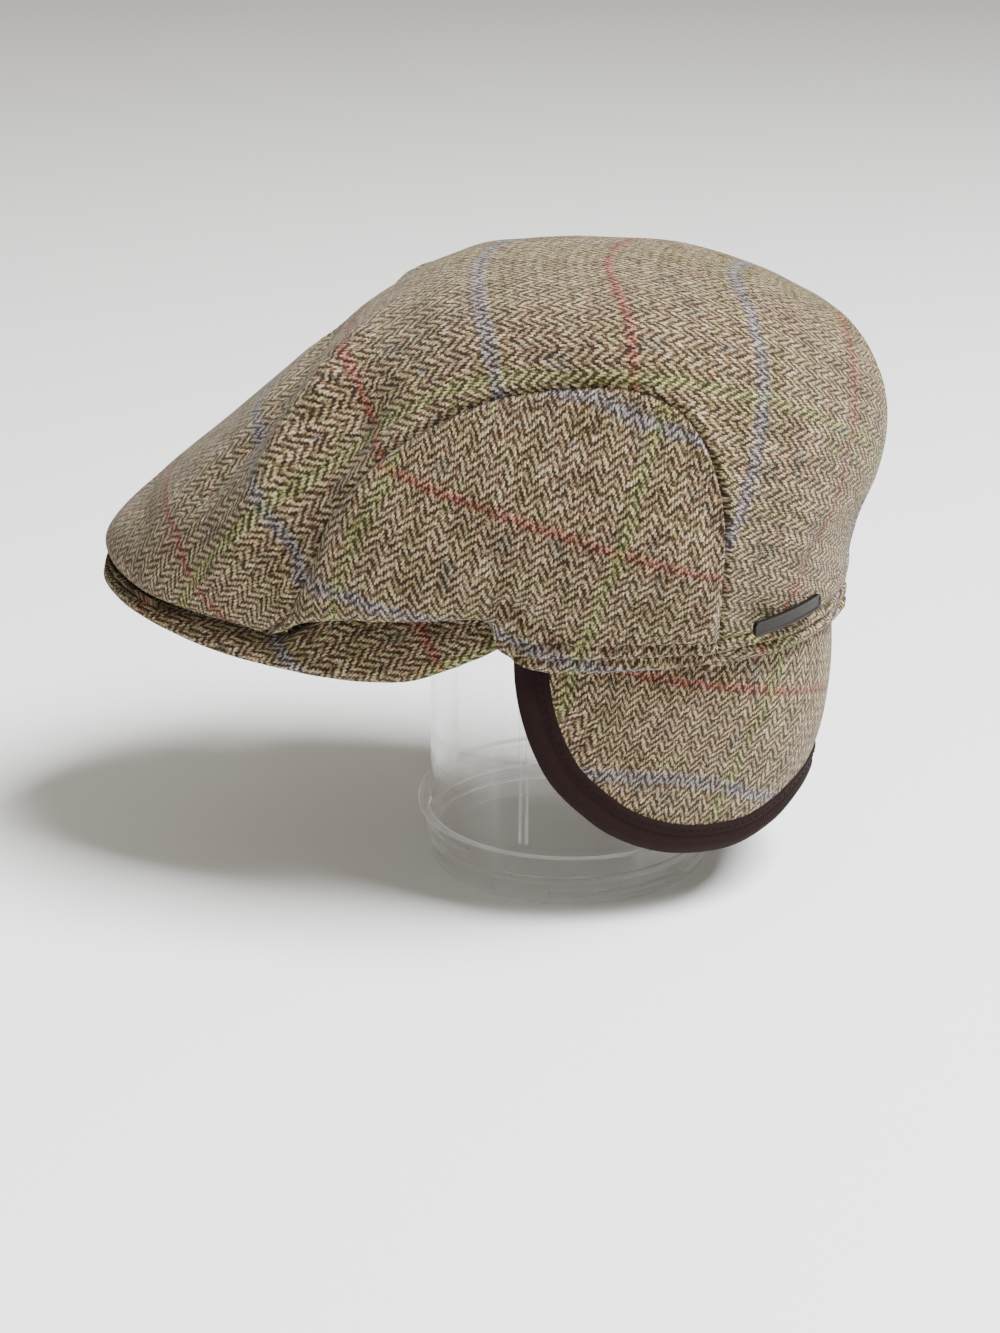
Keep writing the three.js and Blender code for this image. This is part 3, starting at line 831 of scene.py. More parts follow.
@dataclass
class Peak:
    """The stiff peak: cloth drawn over a board, round its rim and back underneath."""

    columns: int = 200
    rows: int = 56
    skin: float = 1.1
    plan: tuple[float, float, float, float] = (-25, 81, 142, 2.2)

    def profile(self, turn: np.ndarray) -> np.ndarray:
        """Guide points (radius, height) of the top, from the head opening to the rim, for each direction."""
        rows = np.array(PEAK_ROWS, float)
        place = np.interp(abs(turn), rows[:, 0], np.arange(len(rows)))
        at = dict(zip(PEAK_COLUMNS, through(rows, place).T))
        rim = plan_radius(*self.plan, turn) - at["tuck"]
        lip = rim - at["lip"]
        inner = np.minimum(hem_radius(turn) - CLOTH - 1, lip - 2)
        rim_top = at["rim_z"] + PEAK_THICK
        return np.array([
            [inner, at["inner_z"]],
            [(inner + lip) / 2, at["inner_z"] + 0.55 * (at["lip_z"] - at["inner_z"])],
            [lip, at["lip_z"]],
            [lip + 0.55 * (rim - lip), at["lip_z"] + 0.45 * (rim_top - at["lip_z"])],
            [rim - 0.6, rim_top],
        ]).transpose(2, 0, 1)

    def surface(self, a: np.ndarray, b: np.ndarray) -> np.ndarray:
        """Points from the head opening over the top (b from 0), round the rim and back under (b to 1)."""
        widest = PEAK_ROWS[-1][0]
        turn = widest * (1 - 2 * a)
        guides = self.profile(turn)
        share = 1 - abs(2 * b - 1)
        share = share + 0.035 * np.sin(2 * np.pi * share)
        place = np.clip(share, 0, 1) * 4
        index, weight = spline_weights(place, 5)
        padded = np.concatenate([2 * guides[:, :1] - guides[:, 1:2], guides,
                                 2 * guides[:, -1:] - guides[:, -2:-1]], 1)
        rows = np.arange(len(a))[:, None]
        at = np.einsum("nk,nkx->nx", weight, padded[rows, index])
        step_index, step_weight = spline_weights(np.clip(place - 0.3, 0, 4), 5)
        before = np.einsum("nk,nkx->nx", step_weight, padded[rows, step_index])
        out = at - before + 1e-6
        out = out / np.linalg.norm(out, axis=1, keepdims=True)
        under = np.stack([out[:, 1], -out[:, 0]], 1) * PEAK_THICK
        round_rim = smooth(0.86, 1, share)
        half = under / 2
        side = np.where(b > 0.5, 1, -1)[:, None] * np.sqrt(np.clip(1 - round_rim**2, 0, 1))[:, None]
        at = at + half + side * half + out * (0.6 * round_rim[:, None])
        points = polar(turn, at[:, 0], at[:, 1])
        swell = 0.25 * roughness_of_cloth(points, 16, 5)
        return points + np.stack([0 * a, 0 * a, swell], 1)

    def build(self, material: bpy.types.Material) -> None:
        """Makes the peak and dresses it."""
        top = FlatPattern(lambda a, b: self.surface(a, b / 2), PEAK_LINES, turn=0)
        log.info("peak: cut from %.0f by %.0f mm, above and below", *top.size)
        piece = grid_object("peak_cloth", self.columns, self.rows, self.surface,
                            lambda a, b: top.uv(a, 1 - abs(2 * b - 1)))
        wall(piece, self.skin)
        finish_piece(piece, material, Slot.TWEED, "peak")


class FlapForm:
    """The shape of the flap, and places along its edge: u runs from the left ear (0) to the right (1)."""

    @staticmethod
    def radius(turn: np.ndarray, z: np.ndarray) -> np.ndarray:
        """Radius of the flap's outer face in each direction and at each height."""
        drop = np.maximum(HEM_Z - z, 0) / (HEM_Z - FLAP_LOW_Z)
        swing = FLAP_BULGE * np.sin(np.pi * drop) - FLAP_LEAN * drop**1.6
        return hem_radius(turn) - CLOTH - FLAP_GAP + swing

    @staticmethod
    def edge(u: np.ndarray) -> np.ndarray:
        """(turn, z) of the lower edge at each u."""
        rows = np.array(FLAP_EDGE, float)
        half = len(rows) - 1
        at = through(rows, np.where(u <= 0.5, u, 1 - u) * 2 * half)
        at[:, 0] = np.where(u <= 0.5, at[:, 0], 360 - at[:, 0])
        return at

    @classmethod
    def inset(cls, u: np.ndarray, width: np.ndarray) -> np.ndarray:
        """(turn, z) of the edge moved up into the cloth by a width in millimetres."""
        d = 0.002
        a, b = cls.edge(np.maximum(u - d, 0)), cls.edge(np.minimum(u + d, 1))
        here = cls.edge(u)
        per_degree = math.radians(1) * cls.radius(here[:, 0], here[:, 1])
        run = (b[:, 0] - a[:, 0]) * per_degree
        fall = b[:, 1] - a[:, 1]
        length = np.hypot(run, fall)
        return np.stack([here[:, 0] - fall / length * width / per_degree,
                         here[:, 1] + run / length * width], 1)

    @classmethod
    def point(cls, at: np.ndarray, lift: np.ndarray) -> np.ndarray:
        """Points on the flap at (turn, z), proud of its outer face by a lift, with its soft waves."""
        base = polar(at[:, 0], cls.radius(at[:, 0], at[:, 1]), at[:, 1])
        low = smooth(HEM_Z, 60, at[:, 1])
        wave = low * (0.9 * roughness_of_cloth(base, 40, 8) + 0.3 * roughness_of_cloth(base, 14, 9))
        return polar(at[:, 0], cls.radius(at[:, 0], at[:, 1]) + lift + wave, at[:, 1])


@dataclass
class Earflap:
    """The turned-down flap, two layers of cloth, and the ribbed tape folded over its edge."""

    columns: int = 300
    rows: int = 64
    tape_grid: tuple[int, int] = (440, 60)
    tucked: float = 5.0
    tape_wall: float = 0.5
    edge_round: float = 2.1
    groove: float = 7.6
    stitch_rows: tuple[float, ...] = (9.6,)

    def cloth_surface(self, a: np.ndarray, b: np.ndarray) -> np.ndarray:
        """Points of the flap's cloth: a from the left ear round to the right, b from the lower edge up."""
        low = FlapForm.inset(a, self.tucked + 0 * a)
        high = np.stack([low[:, 0], 0 * a + FLAP_TOP_Z], 1)
        at = low + (high - low) * b[:, None]
        return FlapForm.point(at, -0.35 * bump(b * 70, 12))

    def tape_rise(self, from_edge: np.ndarray) -> np.ndarray:
        """How far the tape stands out from the middle of the flap's thickness: a full roll, then a groove
        and the flat part that is stitched down."""
        turned = (1 - from_edge / 2).clip(0, 1)
        return (self.edge_round * np.sqrt(1 - turned**2) + 0.85 * bump(from_edge - 3.9, 2.3)
                - 0.4 * bump(from_edge - self.groove, 0.6) + 0.12 * bump(from_edge - 9.7, 1.8)
                - 0.4 * bump(from_edge - TAPE_WIDTH, 0.5))

    def tape_surface(self, a: np.ndarray, b: np.ndarray) -> np.ndarray:
        """Points of the tape: b from its inner border at the back, round the edge, to the one in front."""
        from_edge = TAPE_WIDTH * 2 * abs(b - 0.5)
        lift = np.where(b > 0.5, 1, -1) * self.tape_rise(from_edge) - FLAP_THICK / 2
        at = FlapForm.inset(a, from_edge)
        return FlapForm.point(at, lift)

    def build(self, cloth: bpy.types.Material, tape: bpy.types.Material, thread: bpy.types.Material) -> None:
        """Makes the flap's cloth and its tape, sews the tape down and dresses them."""
        pattern = FlatPattern(self.cloth_surface, FLAP_LINES)
        flap = grid_object("earflap_cloth", self.columns, self.rows, self.cloth_surface, pattern.uv)
        wall(flap, FLAP_THICK - 0.8)
        finish_piece(flap, cloth, Slot.TWEED, "earflap")
        log.info("earflap_cloth: cut from %.0f by %.0f mm, %.0f cm2", *pattern.size, pattern.area / 100)
        edge = self.tape_surface(np.linspace(0, 1, 400), np.full(400, 0.5))
        length = float(np.linalg.norm(np.diff(edge, axis=0), axis=1).sum())
        band = grid_object("binding_tape", *self.tape_grid, self.tape_surface,
                           lambda a, b: MM * np.stack([a * length, (b - 0.5) * 2 * TAPE_WIDTH], 1))
        wall(band, self.tape_wall)
        finish_piece(band, tape, Slot.TAPE, "flap_binding")
        log.info("binding_tape: cut from %.0f by %.0f mm", length, 2 * TAPE_WIDTH)
        for number, inwards in enumerate(self.stitch_rows):
            a = np.linspace(0.004, 0.996, 900)
            b = np.full(len(a), 0.5 + inwards / TAPE_WIDTH / 2)
            path = self.tape_surface(a, b)
            at = FlapForm.inset(a, inwards + 0 * a)
            out = polar(at[:, 0], 1 + 0 * a, 0 * a)
            StitchRow(f"tape_stitches_{number}", 2.2, 0.9, 0.4).sew(path, out, thread)


# The stand and the bar


@dataclass
class ClearJar:
    """The clear jar that stands on its mouth: wall, flange, screw thread, closed end and two pairs of beads."""

    mouth: float = 50
    body: float = 49.5
    flange: float = 54.3
    flange_z: float = 19
    flange_thick: float = 3
    top_z: float = 210.6
    corner: float = 11
    wall: float = 2.2
    thread_depth: float = 1.6
    thread_pitch: float = 5.4
    thread_turns: float = 1.9
    steps: int = 160
    bead_turns: tuple[float, ...] = (78.1, 80.9, -25.4, -22.6)
    bead: float = 0.9

    @staticmethod
    def arc(centre: tuple[float, float], radius: float, start: float, end: float, count: int) -> list:
        """Points (r, z) of an arc between two angles in degrees."""
        angles = [math.radians(start + (end - start) * k / count) for k in range(count + 1)]
        return [(centre[0] + radius * math.cos(a), centre[1] + radius * math.sin(a)) for a in angles]

    def outline(self) -> list[tuple[float, float]]:
        """The closed outline (r, z) of the wall, from the mouth up the outside and down the inside."""
        lip = self.wall / 2
        top = self.flange_z + self.flange_thick
        return [
            *self.arc((self.mouth - lip, lip), lip, -90, 0, 5),
            (self.mouth, self.flange_z - 1),
            *self.arc((self.mouth + 1, self.flange_z - 1), 1, 180, 90, 3),
            *self.arc((self.flange - 0.8, self.flange_z + 0.8), 0.8, -90, 0, 4),
            *self.arc((self.flange - 0.8, top - 0.8), 0.8, 0, 90, 4),
            *self.arc((self.body + 1, top + 1), 1, -90, -180, 3),
            *self.arc((self.body - self.corner, self.top_z - self.corner), self.corner, 0, 90, 12),
            (0, self.top_z),
            (0, self.top_z - self.wall),
            *self.arc((self.body - self.corner, self.top_z - self.corner), self.corner - self.wall, 90, 0, 12),
            *self.arc((self.mouth - lip, lip), lip, -180, -90, 5)[:-1],
        ]

    def build(self, material: bpy.types.Material) -> bpy.types.Object:
        """Turns the wall, winds the thread round the neck and dresses the jar."""
        jar = bmesh.new()
        outline = [jar.verts.new((r * MM, 0, z * MM)) for r, z in self.outline()]
        edges = [jar.edges.new(pair) for pair in zip(outline, outline[1:] + outline[:1])]
        bmesh.ops.spin(jar, geom=outline + edges, cent=(0, 0, 0), axis=(0, 0, 1), dvec=(0, 0, 0),
                       angle=math.tau, steps=self.steps, use_merge=True, use_duplicate=False)
        bmesh.ops.remove_doubles(jar, verts=jar.verts, dist=0.001 * MM)
        self.wind_thread(jar)
        for turn in self.bead_turns:
            self.add_bead(jar, turn)
        bmesh.ops.recalc_face_normals(jar, faces=jar.faces)
        bmesh.ops.translate(jar, verts=jar.verts, vec=(0, AXIS_Y * MM, 0))
        piece = new_object("clear_jar", new_mesh("clear_jar", jar))
        finish_piece(piece, material, Slot.CLEAR, "clear_stand")
        return piece

    def add_bead(self, jar: bmesh.types.BMesh, turn: float) -> None:
        """Adds an upright bead on the outside of the body, from the flange up under the cap.

        Args:
            jar: the mesh it joins.
            turn: its direction from straight ahead in degrees.
        """
        foot, head = self.flange_z + self.flange_thick, self.top_z - self.corner
        centre = polar(np.array([turn]), np.array([self.body]), np.array([(foot + head) / 2]))[0]
        facing = Matrix.Rotation(math.radians(turn), 4, "Z")
        shape = Matrix.Diagonal((self.bead * MM, self.bead * MM, (head - foot) * MM, 1))
        bead = bmesh.ops.create_cube(
            jar, size=1, matrix=Matrix.Translation(Vector(centre * MM)) @ facing @ shape)
        upright = {edge for corner in bead["verts"] for edge in corner.link_edges
                   if abs(edge.verts[0].co.z - edge.verts[1].co.z) > MM}
        bmesh.ops.bevel(jar, geom=list(upright), offset=0.4 * self.bead * MM, segments=4, profile=0.5,
                        affect="EDGES", material=-1)

    def wind_thread(self, jar: bmesh.types.BMesh) -> None:
        """Adds the screw thread: a low ridge wound round the neck."""
        sunk, depth = 0.3, self.thread_depth
        section = [(-sunk, -1.1), (0.6 * depth, -0.7), (depth, 0), (0.6 * depth, 0.7), (-sunk, 1.1)]
        start = 4.0
        ring = [jar.verts.new(((self.mouth + r) * MM, 0, (start + z) * MM)) for r, z in section]
        face = jar.faces.new(ring)
        steps = int(self.steps * self.thread_turns)
        bmesh.ops.spin(jar, geom=[face, *ring, *face.edges], cent=(0, 0, 0), axis=(0, 0, 1),
                       dvec=(0, 0, self.thread_pitch * self.thread_turns / steps * MM),
                       angle=math.tau * self.thread_turns, steps=steps, use_merge=False, use_duplicate=False)


@dataclass
class SideBar:
    """The plain dark metal bar pinned above the back hem."""

    length: float = 35
    height: float = 5
    thick: float = 1.6
    turn: float = 146.2
    radius: float = 94.7
    z: float = 111.5
    rise: float = 3
    slices: int = 24

    def build(self, material: bpy.types.Material) -> bpy.types.Object:
        """Makes the bar with a raised border, bends it to the cap and dresses it."""
        bar = bmesh.new()
        bmesh.ops.create_cube(bar, size=1)
        bmesh.ops.scale(bar, verts=bar.verts, vec=(self.thick * MM, self.length * MM, self.height * MM))
        upright = [e for e in bar.edges if abs(e.verts[0].co.x - e.verts[1].co.x) > self.thick * MM / 2]
        bmesh.ops.bevel(bar, geom=upright, offset=1.6 * MM, offset_type="OFFSET", segments=5, profile=0.5,
                        affect="EDGES", material=-1)
        front = [f for f in bar.faces if f.normal.x > 0.9]
        bmesh.ops.inset_region(bar, faces=front, thickness=0.55 * MM, depth=0)
        bmesh.ops.inset_region(bar, faces=front, thickness=0.18 * MM, depth=-0.35 * MM)
        for k in range(1, self.slices):
            y = (k / self.slices - 0.5) * self.length * MM
            bmesh.ops.bisect_plane(bar, geom=[*bar.verts, *bar.edges, *bar.faces], plane_co=(0, y, 0),
                                   plane_no=(0, 1, 0))
        reach = (self.radius + self.thick / 2) * MM
        for v in bar.verts:
            angle = v.co.y / reach
            out = reach + v.co.x
            v.co = Vector((out * math.cos(angle) - reach, out * math.sin(angle), v.co.z))
        place = polar(np.array([self.turn]), np.array([self.radius + self.thick / 2]), np.array([self.z]))[0]
        turn = Matrix.Rotation(math.radians(self.turn - 90), 4, "Z") @ Matrix.Rotation(
            math.radians(self.rise), 4, "X")
        where = Vector((place + (0, AXIS_Y, 0)) * MM)
        bmesh.ops.transform(bar, matrix=Matrix.Translation(where) @ turn, verts=bar.verts)
        piece = new_object("blank_bar", new_mesh("blank_bar", bar))
        edges = piece.modifiers.new("edges", "BEVEL")
        edges.width, edges.segments, edges.limit_method = 0.12 * MM, 2, "ANGLE"
        edges.harden_normals = True
        finish_piece(piece, material, Slot.METAL, "side_bar")
        return piece


# Finishes


def linear(colour: str) -> tuple[float, float, float, float]:
    """An sRGB hex colour such as "8b7b62" as linear values with full alpha."""
    parts = [int(colour[k:k + 2], 16) / 255 for k in (0, 2, 4)]
    return (*[c / 12.92 if c <= 0.04045 else ((c + 0.055) / 1.055) ** 2.4 for c in parts], 1.0)


@dataclass
class Nodes:
    """A new material's nodes, and the one way to add to them."""

    name: str
    tree: Any = field(init=False)
    material: Any = field(init=False)
    shader: Any = field(init=False)

    def __post_init__(self) -> None:
        """Makes the material with its plain shader."""
        self.material = bpy.data.materials.new(self.name)
        self.material.use_nodes = True
        self.tree = self.material.node_tree
        self.shader = self.tree.nodes["Principled BSDF"]

    def add(self, kind: str, *inputs: Any, **settings: Any) -> Any:
        """Adds a node.

        Args:
            kind: the node's type, without its ShaderNode prefix.
            inputs: for each socket in turn a value, a node whose first output it takes, an output, or
                None to leave it.
            settings: the node's own settings, and values for sockets by name under the key sockets.

        Returns:
            The node.
        """
        node = self.tree.nodes.new("ShaderNode" + kind)
        sockets = settings.pop("sockets", {})
        for key, value in settings.items():
            setattr(node, key, value)
        for socket, value in [*zip(node.inputs, inputs), *((node.inputs[k], v) for k, v in sockets.items())]:
            if isinstance(value, bpy.types.Node):
                self.tree.links.new(value.outputs[0], socket)
            elif isinstance(value, bpy.types.NodeSocket):
                self.tree.links.new(value, socket)
            elif value is not None:
                socket.default_value = value
        return node

    def dress(self, **sockets: Any) -> Any:
        """Sets the shader's own sockets, by name with _ for a space, and returns the material."""
        for key, value in sockets.items():
            socket = self.shader.inputs[key.replace("_", " ")]
            if isinstance(value, bpy.types.Node):
                self.tree.links.new(value.outputs[0], socket)
            elif isinstance(value, bpy.types.NodeSocket):
                self.tree.links.new(value, socket)
            else:
                socket.default_value = value
        return self.material


@dataclass(frozen=True)
class Overcheck:
    """One set of coloured lines in the tweed: their yarn, colour, spacing, place and width in millimetres."""

    grain: Grain
    colour: str
    every: float
    first: float
    width: float
    strength: float
    blur: float = 1.1


@dataclass(frozen=True)
class Tweed:
    """Woollen herringbone tweed: pale and dark brown yarns in zigzag ribs, with a faint soft overcheck.

    The yarns are drawn a little coarser than they are, so that they show.
    """

    pale_shades: tuple[tuple[float, str], ...] = ((0.25, "86775f"), (0.5, "ac9d84"), (0.75, "cfc4af"))
    dark_shades: tuple[tuple[float, str], ...] = ((0.25, "302115"), (0.5, "4c3825"), (0.75, "70573b"))
    tints: tuple[tuple[float, str], ...] = ((0.3, "c6b799"), (0.4, "d2d0a6"), (0.5, "ece5d8"), (0.6, "dcc4a8"),
                                            (0.7, "b8b8b4"))
    nep_colours: tuple[tuple[float, str], ...] = ((0.0, "b0402c"), (0.3, "6f8a2e"), (0.6, "c98a3c"),
                                                  (0.85, "74809a"))
    yarn: float = 0.72
    column: float = 3.6
    pitch: float = 3.4
    slope: float = 1.35
    wander: float = 1.2
    overcheck: tuple[Overcheck, ...] = (
        Overcheck(Grain.WEFT, "e07a66", CROSS_EVERY, 0, 3.2, 0.75),
        Overcheck(Grain.WEFT, "8f92ae", CROSS_EVERY, BLUE_FIRST, 4.6, 0.45),
        Overcheck(Grain.WARP, "6f7f3a", GREEN_EVERY, 0, 4.4, 0.36),
    )

    def material(self) -> bpy.types.Material:
        """The weave from the cloth's own UV map, which is in metres."""
        n = Nodes("herringbone_tweed")
        uv = n.add("UVMap", uv_map="cloth")
        wander = n.add("TexNoise", uv, None, 330.0, 1.0, 0.6, noise_dimensions="2D")
        shift = n.add("VectorMath", wander.outputs["Color"], (0.5, 0.5, 0.5), operation="SUBTRACT")
        moved = n.add("VectorMath", shift, (self.wander * MM, self.wander * MM, 0), uv,
                      operation="MULTIPLY_ADD")
        place = n.add("SeparateXYZ", moved)
        u = n.add("Math", place.outputs["X"], 1 / MM, operation="MULTIPLY")
        v = n.add("Math", place.outputs["Y"], 1 / MM, operation="MULTIPLY")
        fleck = n.add("TexNoise", uv, None, 1100.0, 2.0, 0.7, noise_dimensions="2D")
        ragged = n.add("Math", fleck, 0.5, operation="SUBTRACT")

        warp = n.add("Math", u, self.yarn, operation="DIVIDE")
        warp_number = n.add("Math", warp, operation="FLOOR")
        column_place = n.add("Math", warp_number, self.yarn / self.column, operation="MULTIPLY")
        zigzag = n.add("Math", column_place, 1.0, operation="PINGPONG")
        broken = n.add("Math", n.add("Math", column_place, operation="FLOOR"), 2.0, operation="FLOORED_MODULO")
        rise = n.add("Math", zigzag, self.column * self.slope / self.pitch, operation="MULTIPLY")
        climb = n.add("Math", v, 1 / self.pitch, rise, operation="MULTIPLY_ADD")
        phase = n.add("Math", broken, 0.5, climb, operation="MULTIPLY_ADD")
        wave = n.add("Math", n.add("Math", phase, math.tau, operation="MULTIPLY"), operation="SINE")
        float_number = n.add("CombineXYZ", warp_number, n.add("Math", phase, operation="FLOOR"))
        chance = n.add("TexWhiteNoise", float_number, noise_dimensions="2D")
        lot = n.add("Math", chance, 0.5, operation="SUBTRACT")
        uneven = n.add("Math", lot, 0.5, wave, operation="MULTIPLY_ADD")
        rough_wave = n.add("Math", ragged, 2.2, uneven, operation="MULTIPLY_ADD")
        warp_up = n.add("MapRange", rough_wave, -0.75, 0.95, 0.0, 1.0, interpolation_type="SMOOTHSTEP")

        shade_place = n.add("Math", lot, 0.35, fleck, operation="MULTIPLY_ADD")
        pale = n.add("ValToRGB", shade_place)
        self.ramp(pale, self.pale_shades)
        dark = n.add("ValToRGB", shade_place)
        self.ramp(dark, self.dark_shades)
        woven = n.add("Mix", warp_up, sockets={6: dark.outputs["Color"], 7: pale.outputs["Color"]},
                      data_type="RGBA")
        heather = n.add("TexNoise", uv, None, 75.0, 2.0, 0.6, noise_dimensions="2D")
        tint = n.add("ValToRGB", heather)
        self.ramp(tint, self.tints)
        colour = n.add("Mix", 0.8, sockets={6: woven.outputs[2], 7: tint.outputs["Color"]}, data_type="RGBA",
                       blend_type="MULTIPLY")
        fibres = n.add("TexNoise", uv, None, 520.0, 3.0, 0.65, noise_dimensions="2D")
        colour = n.add("Mix", 0.55, sockets={6: colour.outputs[2], 7: fibres}, data_type="RGBA",
                       blend_type="OVERLAY")
        for line in self.overcheck:
            inside = self.line_mask(n, (u, v)[line.grain.value], ragged, line)
            colour = n.add("Mix", inside, sockets={6: colour.outputs[2], 7: linear(line.colour)},
                           data_type="RGBA", blend_type="COLOR")
        neps = n.add("TexVoronoi", uv, None, 210.0, voronoi_dimensions="2D", feature="F1")
        lump = n.add("Math", ragged, 0.8, neps.outputs["Distance"], operation="MULTIPLY_ADD")
        speck = n.add("MapRange", lump, 0.1, 0.5, 0.4, 0.0)
        rare = n.add("SeparateXYZ", neps.outputs["Color"])
        chosen = n.add("Math", rare.outputs["X"], 0.95, operation="GREATER_THAN")
        nep_mask = n.add("Math", speck, chosen, operation="MULTIPLY")
        nep_colour = n.add("ValToRGB", rare.outputs["Y"])
        self.ramp(nep_colour, self.nep_colours)
        colour = n.add("Mix", nep_mask, sockets={6: colour.outputs[2], 7: nep_colour.outputs["Color"]},
                       data_type="RGBA", blend_type="COLOR")

        # Painted shade: each yarn's colour is darkened towards its sides, and the sunk floats more, as shade
        # between rounded yarns. The same factor also darkens the whole cloth to its tone.
        across_yarn = n.add("Math", n.add("Math", warp, operation="FRACT"), math.pi, operation="MULTIPLY")
        warp_round = n.add("Math", across_yarn, operation="SINE")
        hollow = n.add("Math", warp_round, warp_up, operation="MULTIPLY")
        painted_yarn_shade = n.add("MapRange", hollow, 0.0, 1.0, 0.52, 0.86)
        colour = n.add("VectorMath", colour.outputs[2], painted_yarn_shade, operation="MULTIPLY")
        raised = n.add("Math", ragged, 1.4, hollow, operation="MULTIPLY_ADD")
        relief = n.add("Bump", 0.8, 0.3 * MM, sockets={"Height": raised})
        return n.dress(Base_Color=colour, Roughness=0.95, Normal=relief, Sheen_Weight=0.1,
                       Sheen_Roughness=0.5, Sheen_Tint=linear("e6e0d6"), Specular_IOR_Level=0.2)

    @staticmethod
    def ramp(node: Any, shades: tuple[tuple[float, str], ...]) -> None:
        """Sets a colour ramp's stops from (place, sRGB hex) pairs."""
        stops = node.color_ramp.elements
        while len(stops) < len(shades):
            stops.new(0.5)
        for stop, (place, shade) in zip(stops, shades):
            stop.position, stop.color = place, linear(shade)

    @staticmethod
    def line_mask(n: Nodes, across: Any, ragged: Any, line: Overcheck) -> Any:
        """Strongest inside a set of overcheck lines and 0 outside, with soft and ragged edges.

        Args:
            n: the material's nodes.
            across: the cloth's place across the lines, in millimetres.
            ragged: fine unevenness round 0.
            line: the set of lines.

        Returns:
            The node whose output is the mask.
        """
        moved = n.add("Math", across, line.every / 2 - line.first, operation="ADD")
        inside = n.add("Math", moved, line.every, operation="FLOORED_MODULO")
        away = n.add("Math", n.add("Math", inside, line.every / 2, operation="SUBTRACT"), operation="ABSOLUTE")
        worn = n.add("Math", ragged, 3.0, away, operation="MULTIPLY_ADD")
        half = line.width / 2
        return n.add("MapRange", worn, half - line.blur, half + line.blur, line.strength, 0.0)


@dataclass(frozen=True)
class RibbedTape:
    """Dark brown grosgrain tape: its fine ribs run across its length, their crests painted lighter and their
    grooves darker as a dull striped sheen.
    """

    colour: str = "0d0606"
    # The lighter colour that the rib crests take: a painted highlight.
    light: str = "251413"
    rib: float = 0.75

    def material(self) -> bpy.types.Material:
        """Ribs from the tape's own UV map, whose first direction runs along it."""
        n = Nodes("ribbed_grosgrain_tape")
        uv = n.add("UVMap", uv_map="cloth")
        place = n.add("SeparateXYZ", uv)
        ribs = n.add("Math", place.outputs["X"], math.tau / self.rib / MM, operation="MULTIPLY")
        wave = n.add("Math", ribs, operation="SINE")
        lint = n.add("TexNoise", uv, None, 1200.0, 3.0, 0.7, noise_dimensions="2D")
        height = n.add("Math", lint, 1.2, wave, operation="MULTIPLY_ADD")
        # Painted highlight and shade: the rib crests take the lighter colour and the grooves the darker one,
        # standing in for the light that the ribs catch. The lint noise adds real unevenness of the yarn.
        shade = n.add("MapRange", height, -0.6, 2.0)
        colour = n.add("Mix", shade, sockets={6: linear(self.colour), 7: linear(self.light)}, data_type="RGBA")
        relief = n.add("Bump", 0.6, 0.12 * MM, sockets={"Height": height})
        return n.dress(Base_Color=colour.outputs[2], Roughness=0.85, Normal=relief, Specular_IOR_Level=0.1)


@dataclass(frozen=True)
class SewingThread:
    """Spun sewing thread: dull, with a fine twist that catches a little light."""

    name: str
    colour: str

    def material(self) -> bpy.types.Material:
        """A dull thread colour with a fine twist."""
        n = Nodes(self.name)
        place = n.add("TexCoord")
        twist = n.add("TexNoise", place.outputs["Object"], None, 2500.0, 2.0, 0.5)
        relief = n.add("Bump", 0.4, 0.05 * MM, sockets={"Height": twist})
        return n.dress(Base_Color=linear(self.colour), Roughness=0.9, Normal=relief, Specular_IOR_Level=0.1)


@dataclass(frozen=True)
class DarkSteel:
    """Blackened and brushed steel: short scratches along the bar."""

    colour: str = "32302e"

    def material(self) -> bpy.types.Material:
        """Brushed along the bar's length, which runs nearly level."""
        n = Nodes("brushed_dark_steel")
        place = n.add("TexCoord")
        stretched = n.add("Mapping", place.outputs["Object"], sockets={"Scale": (400.0, 400.0, 9000.0)})
        scratch = n.add("TexNoise", stretched, None, 1.0, 3.0, 0.6)
        rough = n.add("MapRange", scratch, 0.3, 0.7, 0.35, 0.6)
        relief = n.add("Bump", 0.25, 0.03 * MM, sockets={"Height": scratch})
        return n.dress(Base_Color=linear(self.colour), Metallic=1.0, Roughness=rough.outputs[0], Normal=relief)


@dataclass(frozen=True)
class ClearStyrene:
    """Moulded clear polystyrene: glossy and colourless, clear face on and paler where it turns away."""

    def material(self) -> bpy.types.Material:
        """Smooth clear plastic with the slightest waviness of its mould."""
        n = Nodes("clear_moulded_polystyrene")
        place = n.add("TexCoord")
        swell = n.add("TexNoise", place.outputs["Object"], None, 45.0, 1.0, 0.4)
        relief = n.add("Bump", 0.1, 0.4 * MM, sockets={"Height": swell})
        turned = n.add("LayerWeight", 0.5)
        edge = n.add("Math", turned.outputs["Facing"], 3.0, operation="POWER")
        alpha = n.add("MapRange", edge, 0.0, 1.0, 0.08, 1.0)
        return n.dress(Base_Color=linear("fdfefe"), Roughness=0.0, IOR=1.59, Transmission_Weight=1.0,
                       Alpha=alpha.outputs[0], Normal=relief)


# The studio


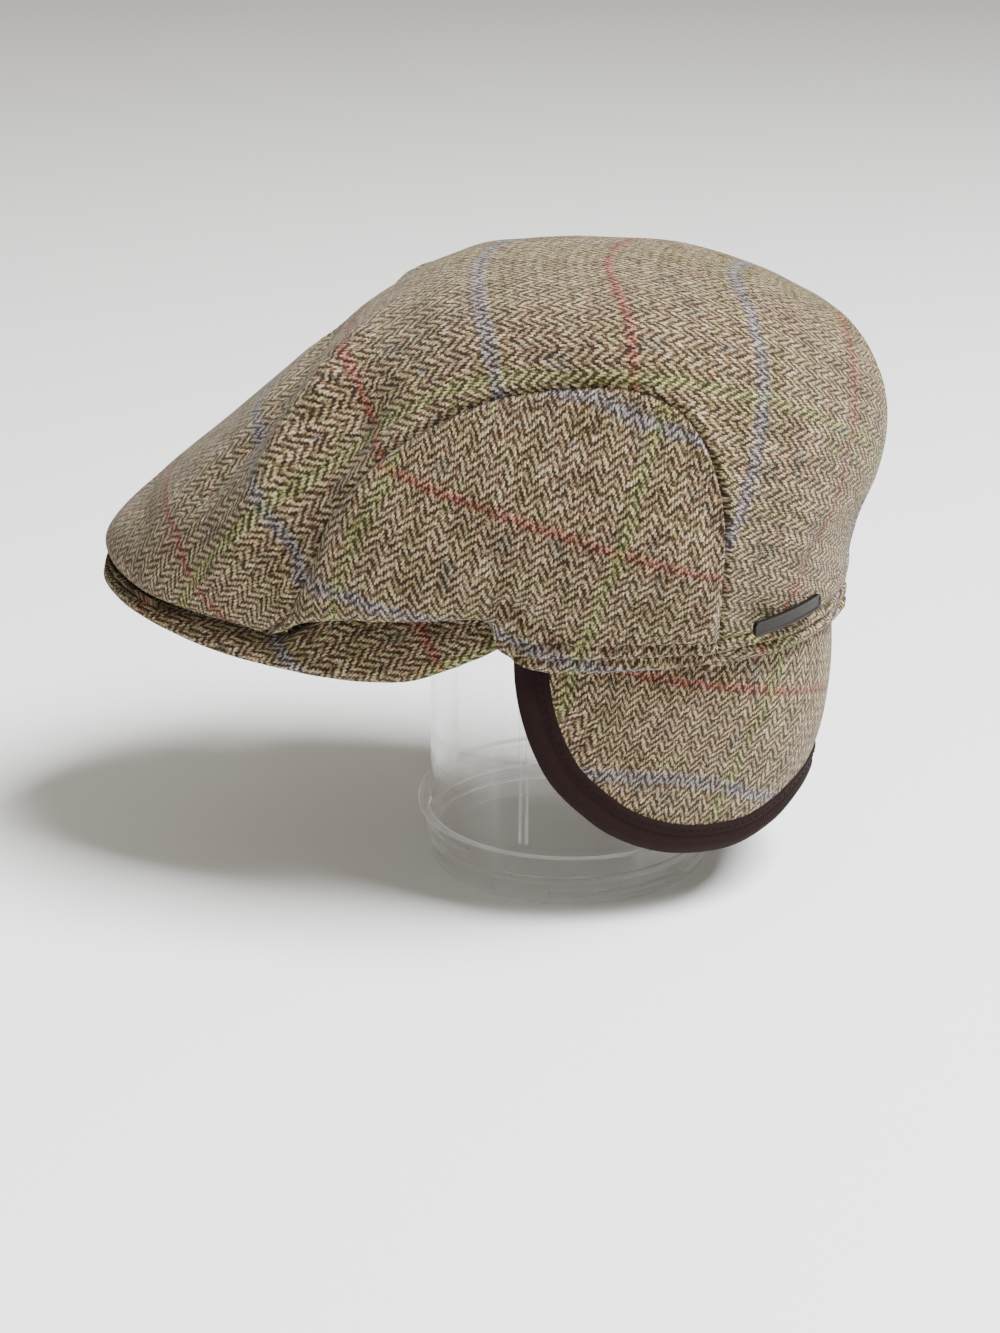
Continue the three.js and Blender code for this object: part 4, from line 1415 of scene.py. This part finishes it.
@dataclass(frozen=True)
class Studio:
    """A plain pale floor and soft light, the strongest from beyond the cap's back and right."""

    floor_colour: str = "f4f4f2"
    sky_colour: str = "f4ecdf"
    sky: float = 0.47
    lamps: tuple[tuple[str, tuple[float, float, float], tuple[float, float], float], ...] = (
        ("window", (0.3, 1.1, 1.95), (1.0, 1.0), 192.0),
        ("doorway", (1.5, 0.35, 0.6), (0.025, 1.2), 3.0),
        ("far_window", (1.0, -1.1, 0.6), (0.025, 1.0), 2.0),
    )
    lamp_colour: tuple[float, float, float] = (0.95, 0.975, 1.0)

    def build(self) -> None:
        """Lays the floor and hangs the lights."""
        floor = bmesh.new()
        bmesh.ops.create_grid(floor, x_segments=1, y_segments=1, size=6)
        piece = new_object("floor", new_mesh("floor", floor))
        n = Nodes("matt_pale_board")
        piece.data.materials.append(n.dress(Base_Color=linear(self.floor_colour), Roughness=0.6))

        world = bpy.data.worlds.new("studio")
        bpy.context.scene.world = world
        world.use_nodes = True
        sky = world.node_tree.nodes["Background"]
        sky.inputs["Color"].default_value = linear(self.sky_colour)
        sky.inputs["Strength"].default_value = self.sky
        target = Vector((0, 0.03, 0.12))
        for name, place, (width, height), power in self.lamps:
            light = bpy.data.lights.new(name, "AREA")
            light.shape, light.size, light.size_y, light.energy = "RECTANGLE", width, height, power
            light.color = self.lamp_colour
            lamp = new_object(name, light)
            lamp.location = place
            lamp.rotation_mode = "QUATERNION"
            lamp.rotation_quaternion = (target - Vector(place)).to_track_quat("-Z", "Y")


def main() -> None:
    """Builds the cap, its stand and the studio; the pieces log their faces and cut sizes."""
    random.seed(SEED)
    PHOTO.build()
    Studio().build()
    tweed = Tweed().material()
    tape = RibbedTape().material()
    cloth_thread = SewingThread("spun_brown_thread", "241b12").material()
    tape_thread = SewingThread("spun_dark_thread", "0f0a0a").material()
    CrownCover().build(tweed, cloth_thread)
    Peak().build(tweed)
    Earflap().build(tweed, tape, tape_thread)
    ClearJar().build(ClearStyrene().material())
    SideBar().build(DarkSteel().material())


if __name__ == "__main__":
    logging.basicConfig(level=logging.INFO, format="%(message)s")
    main()
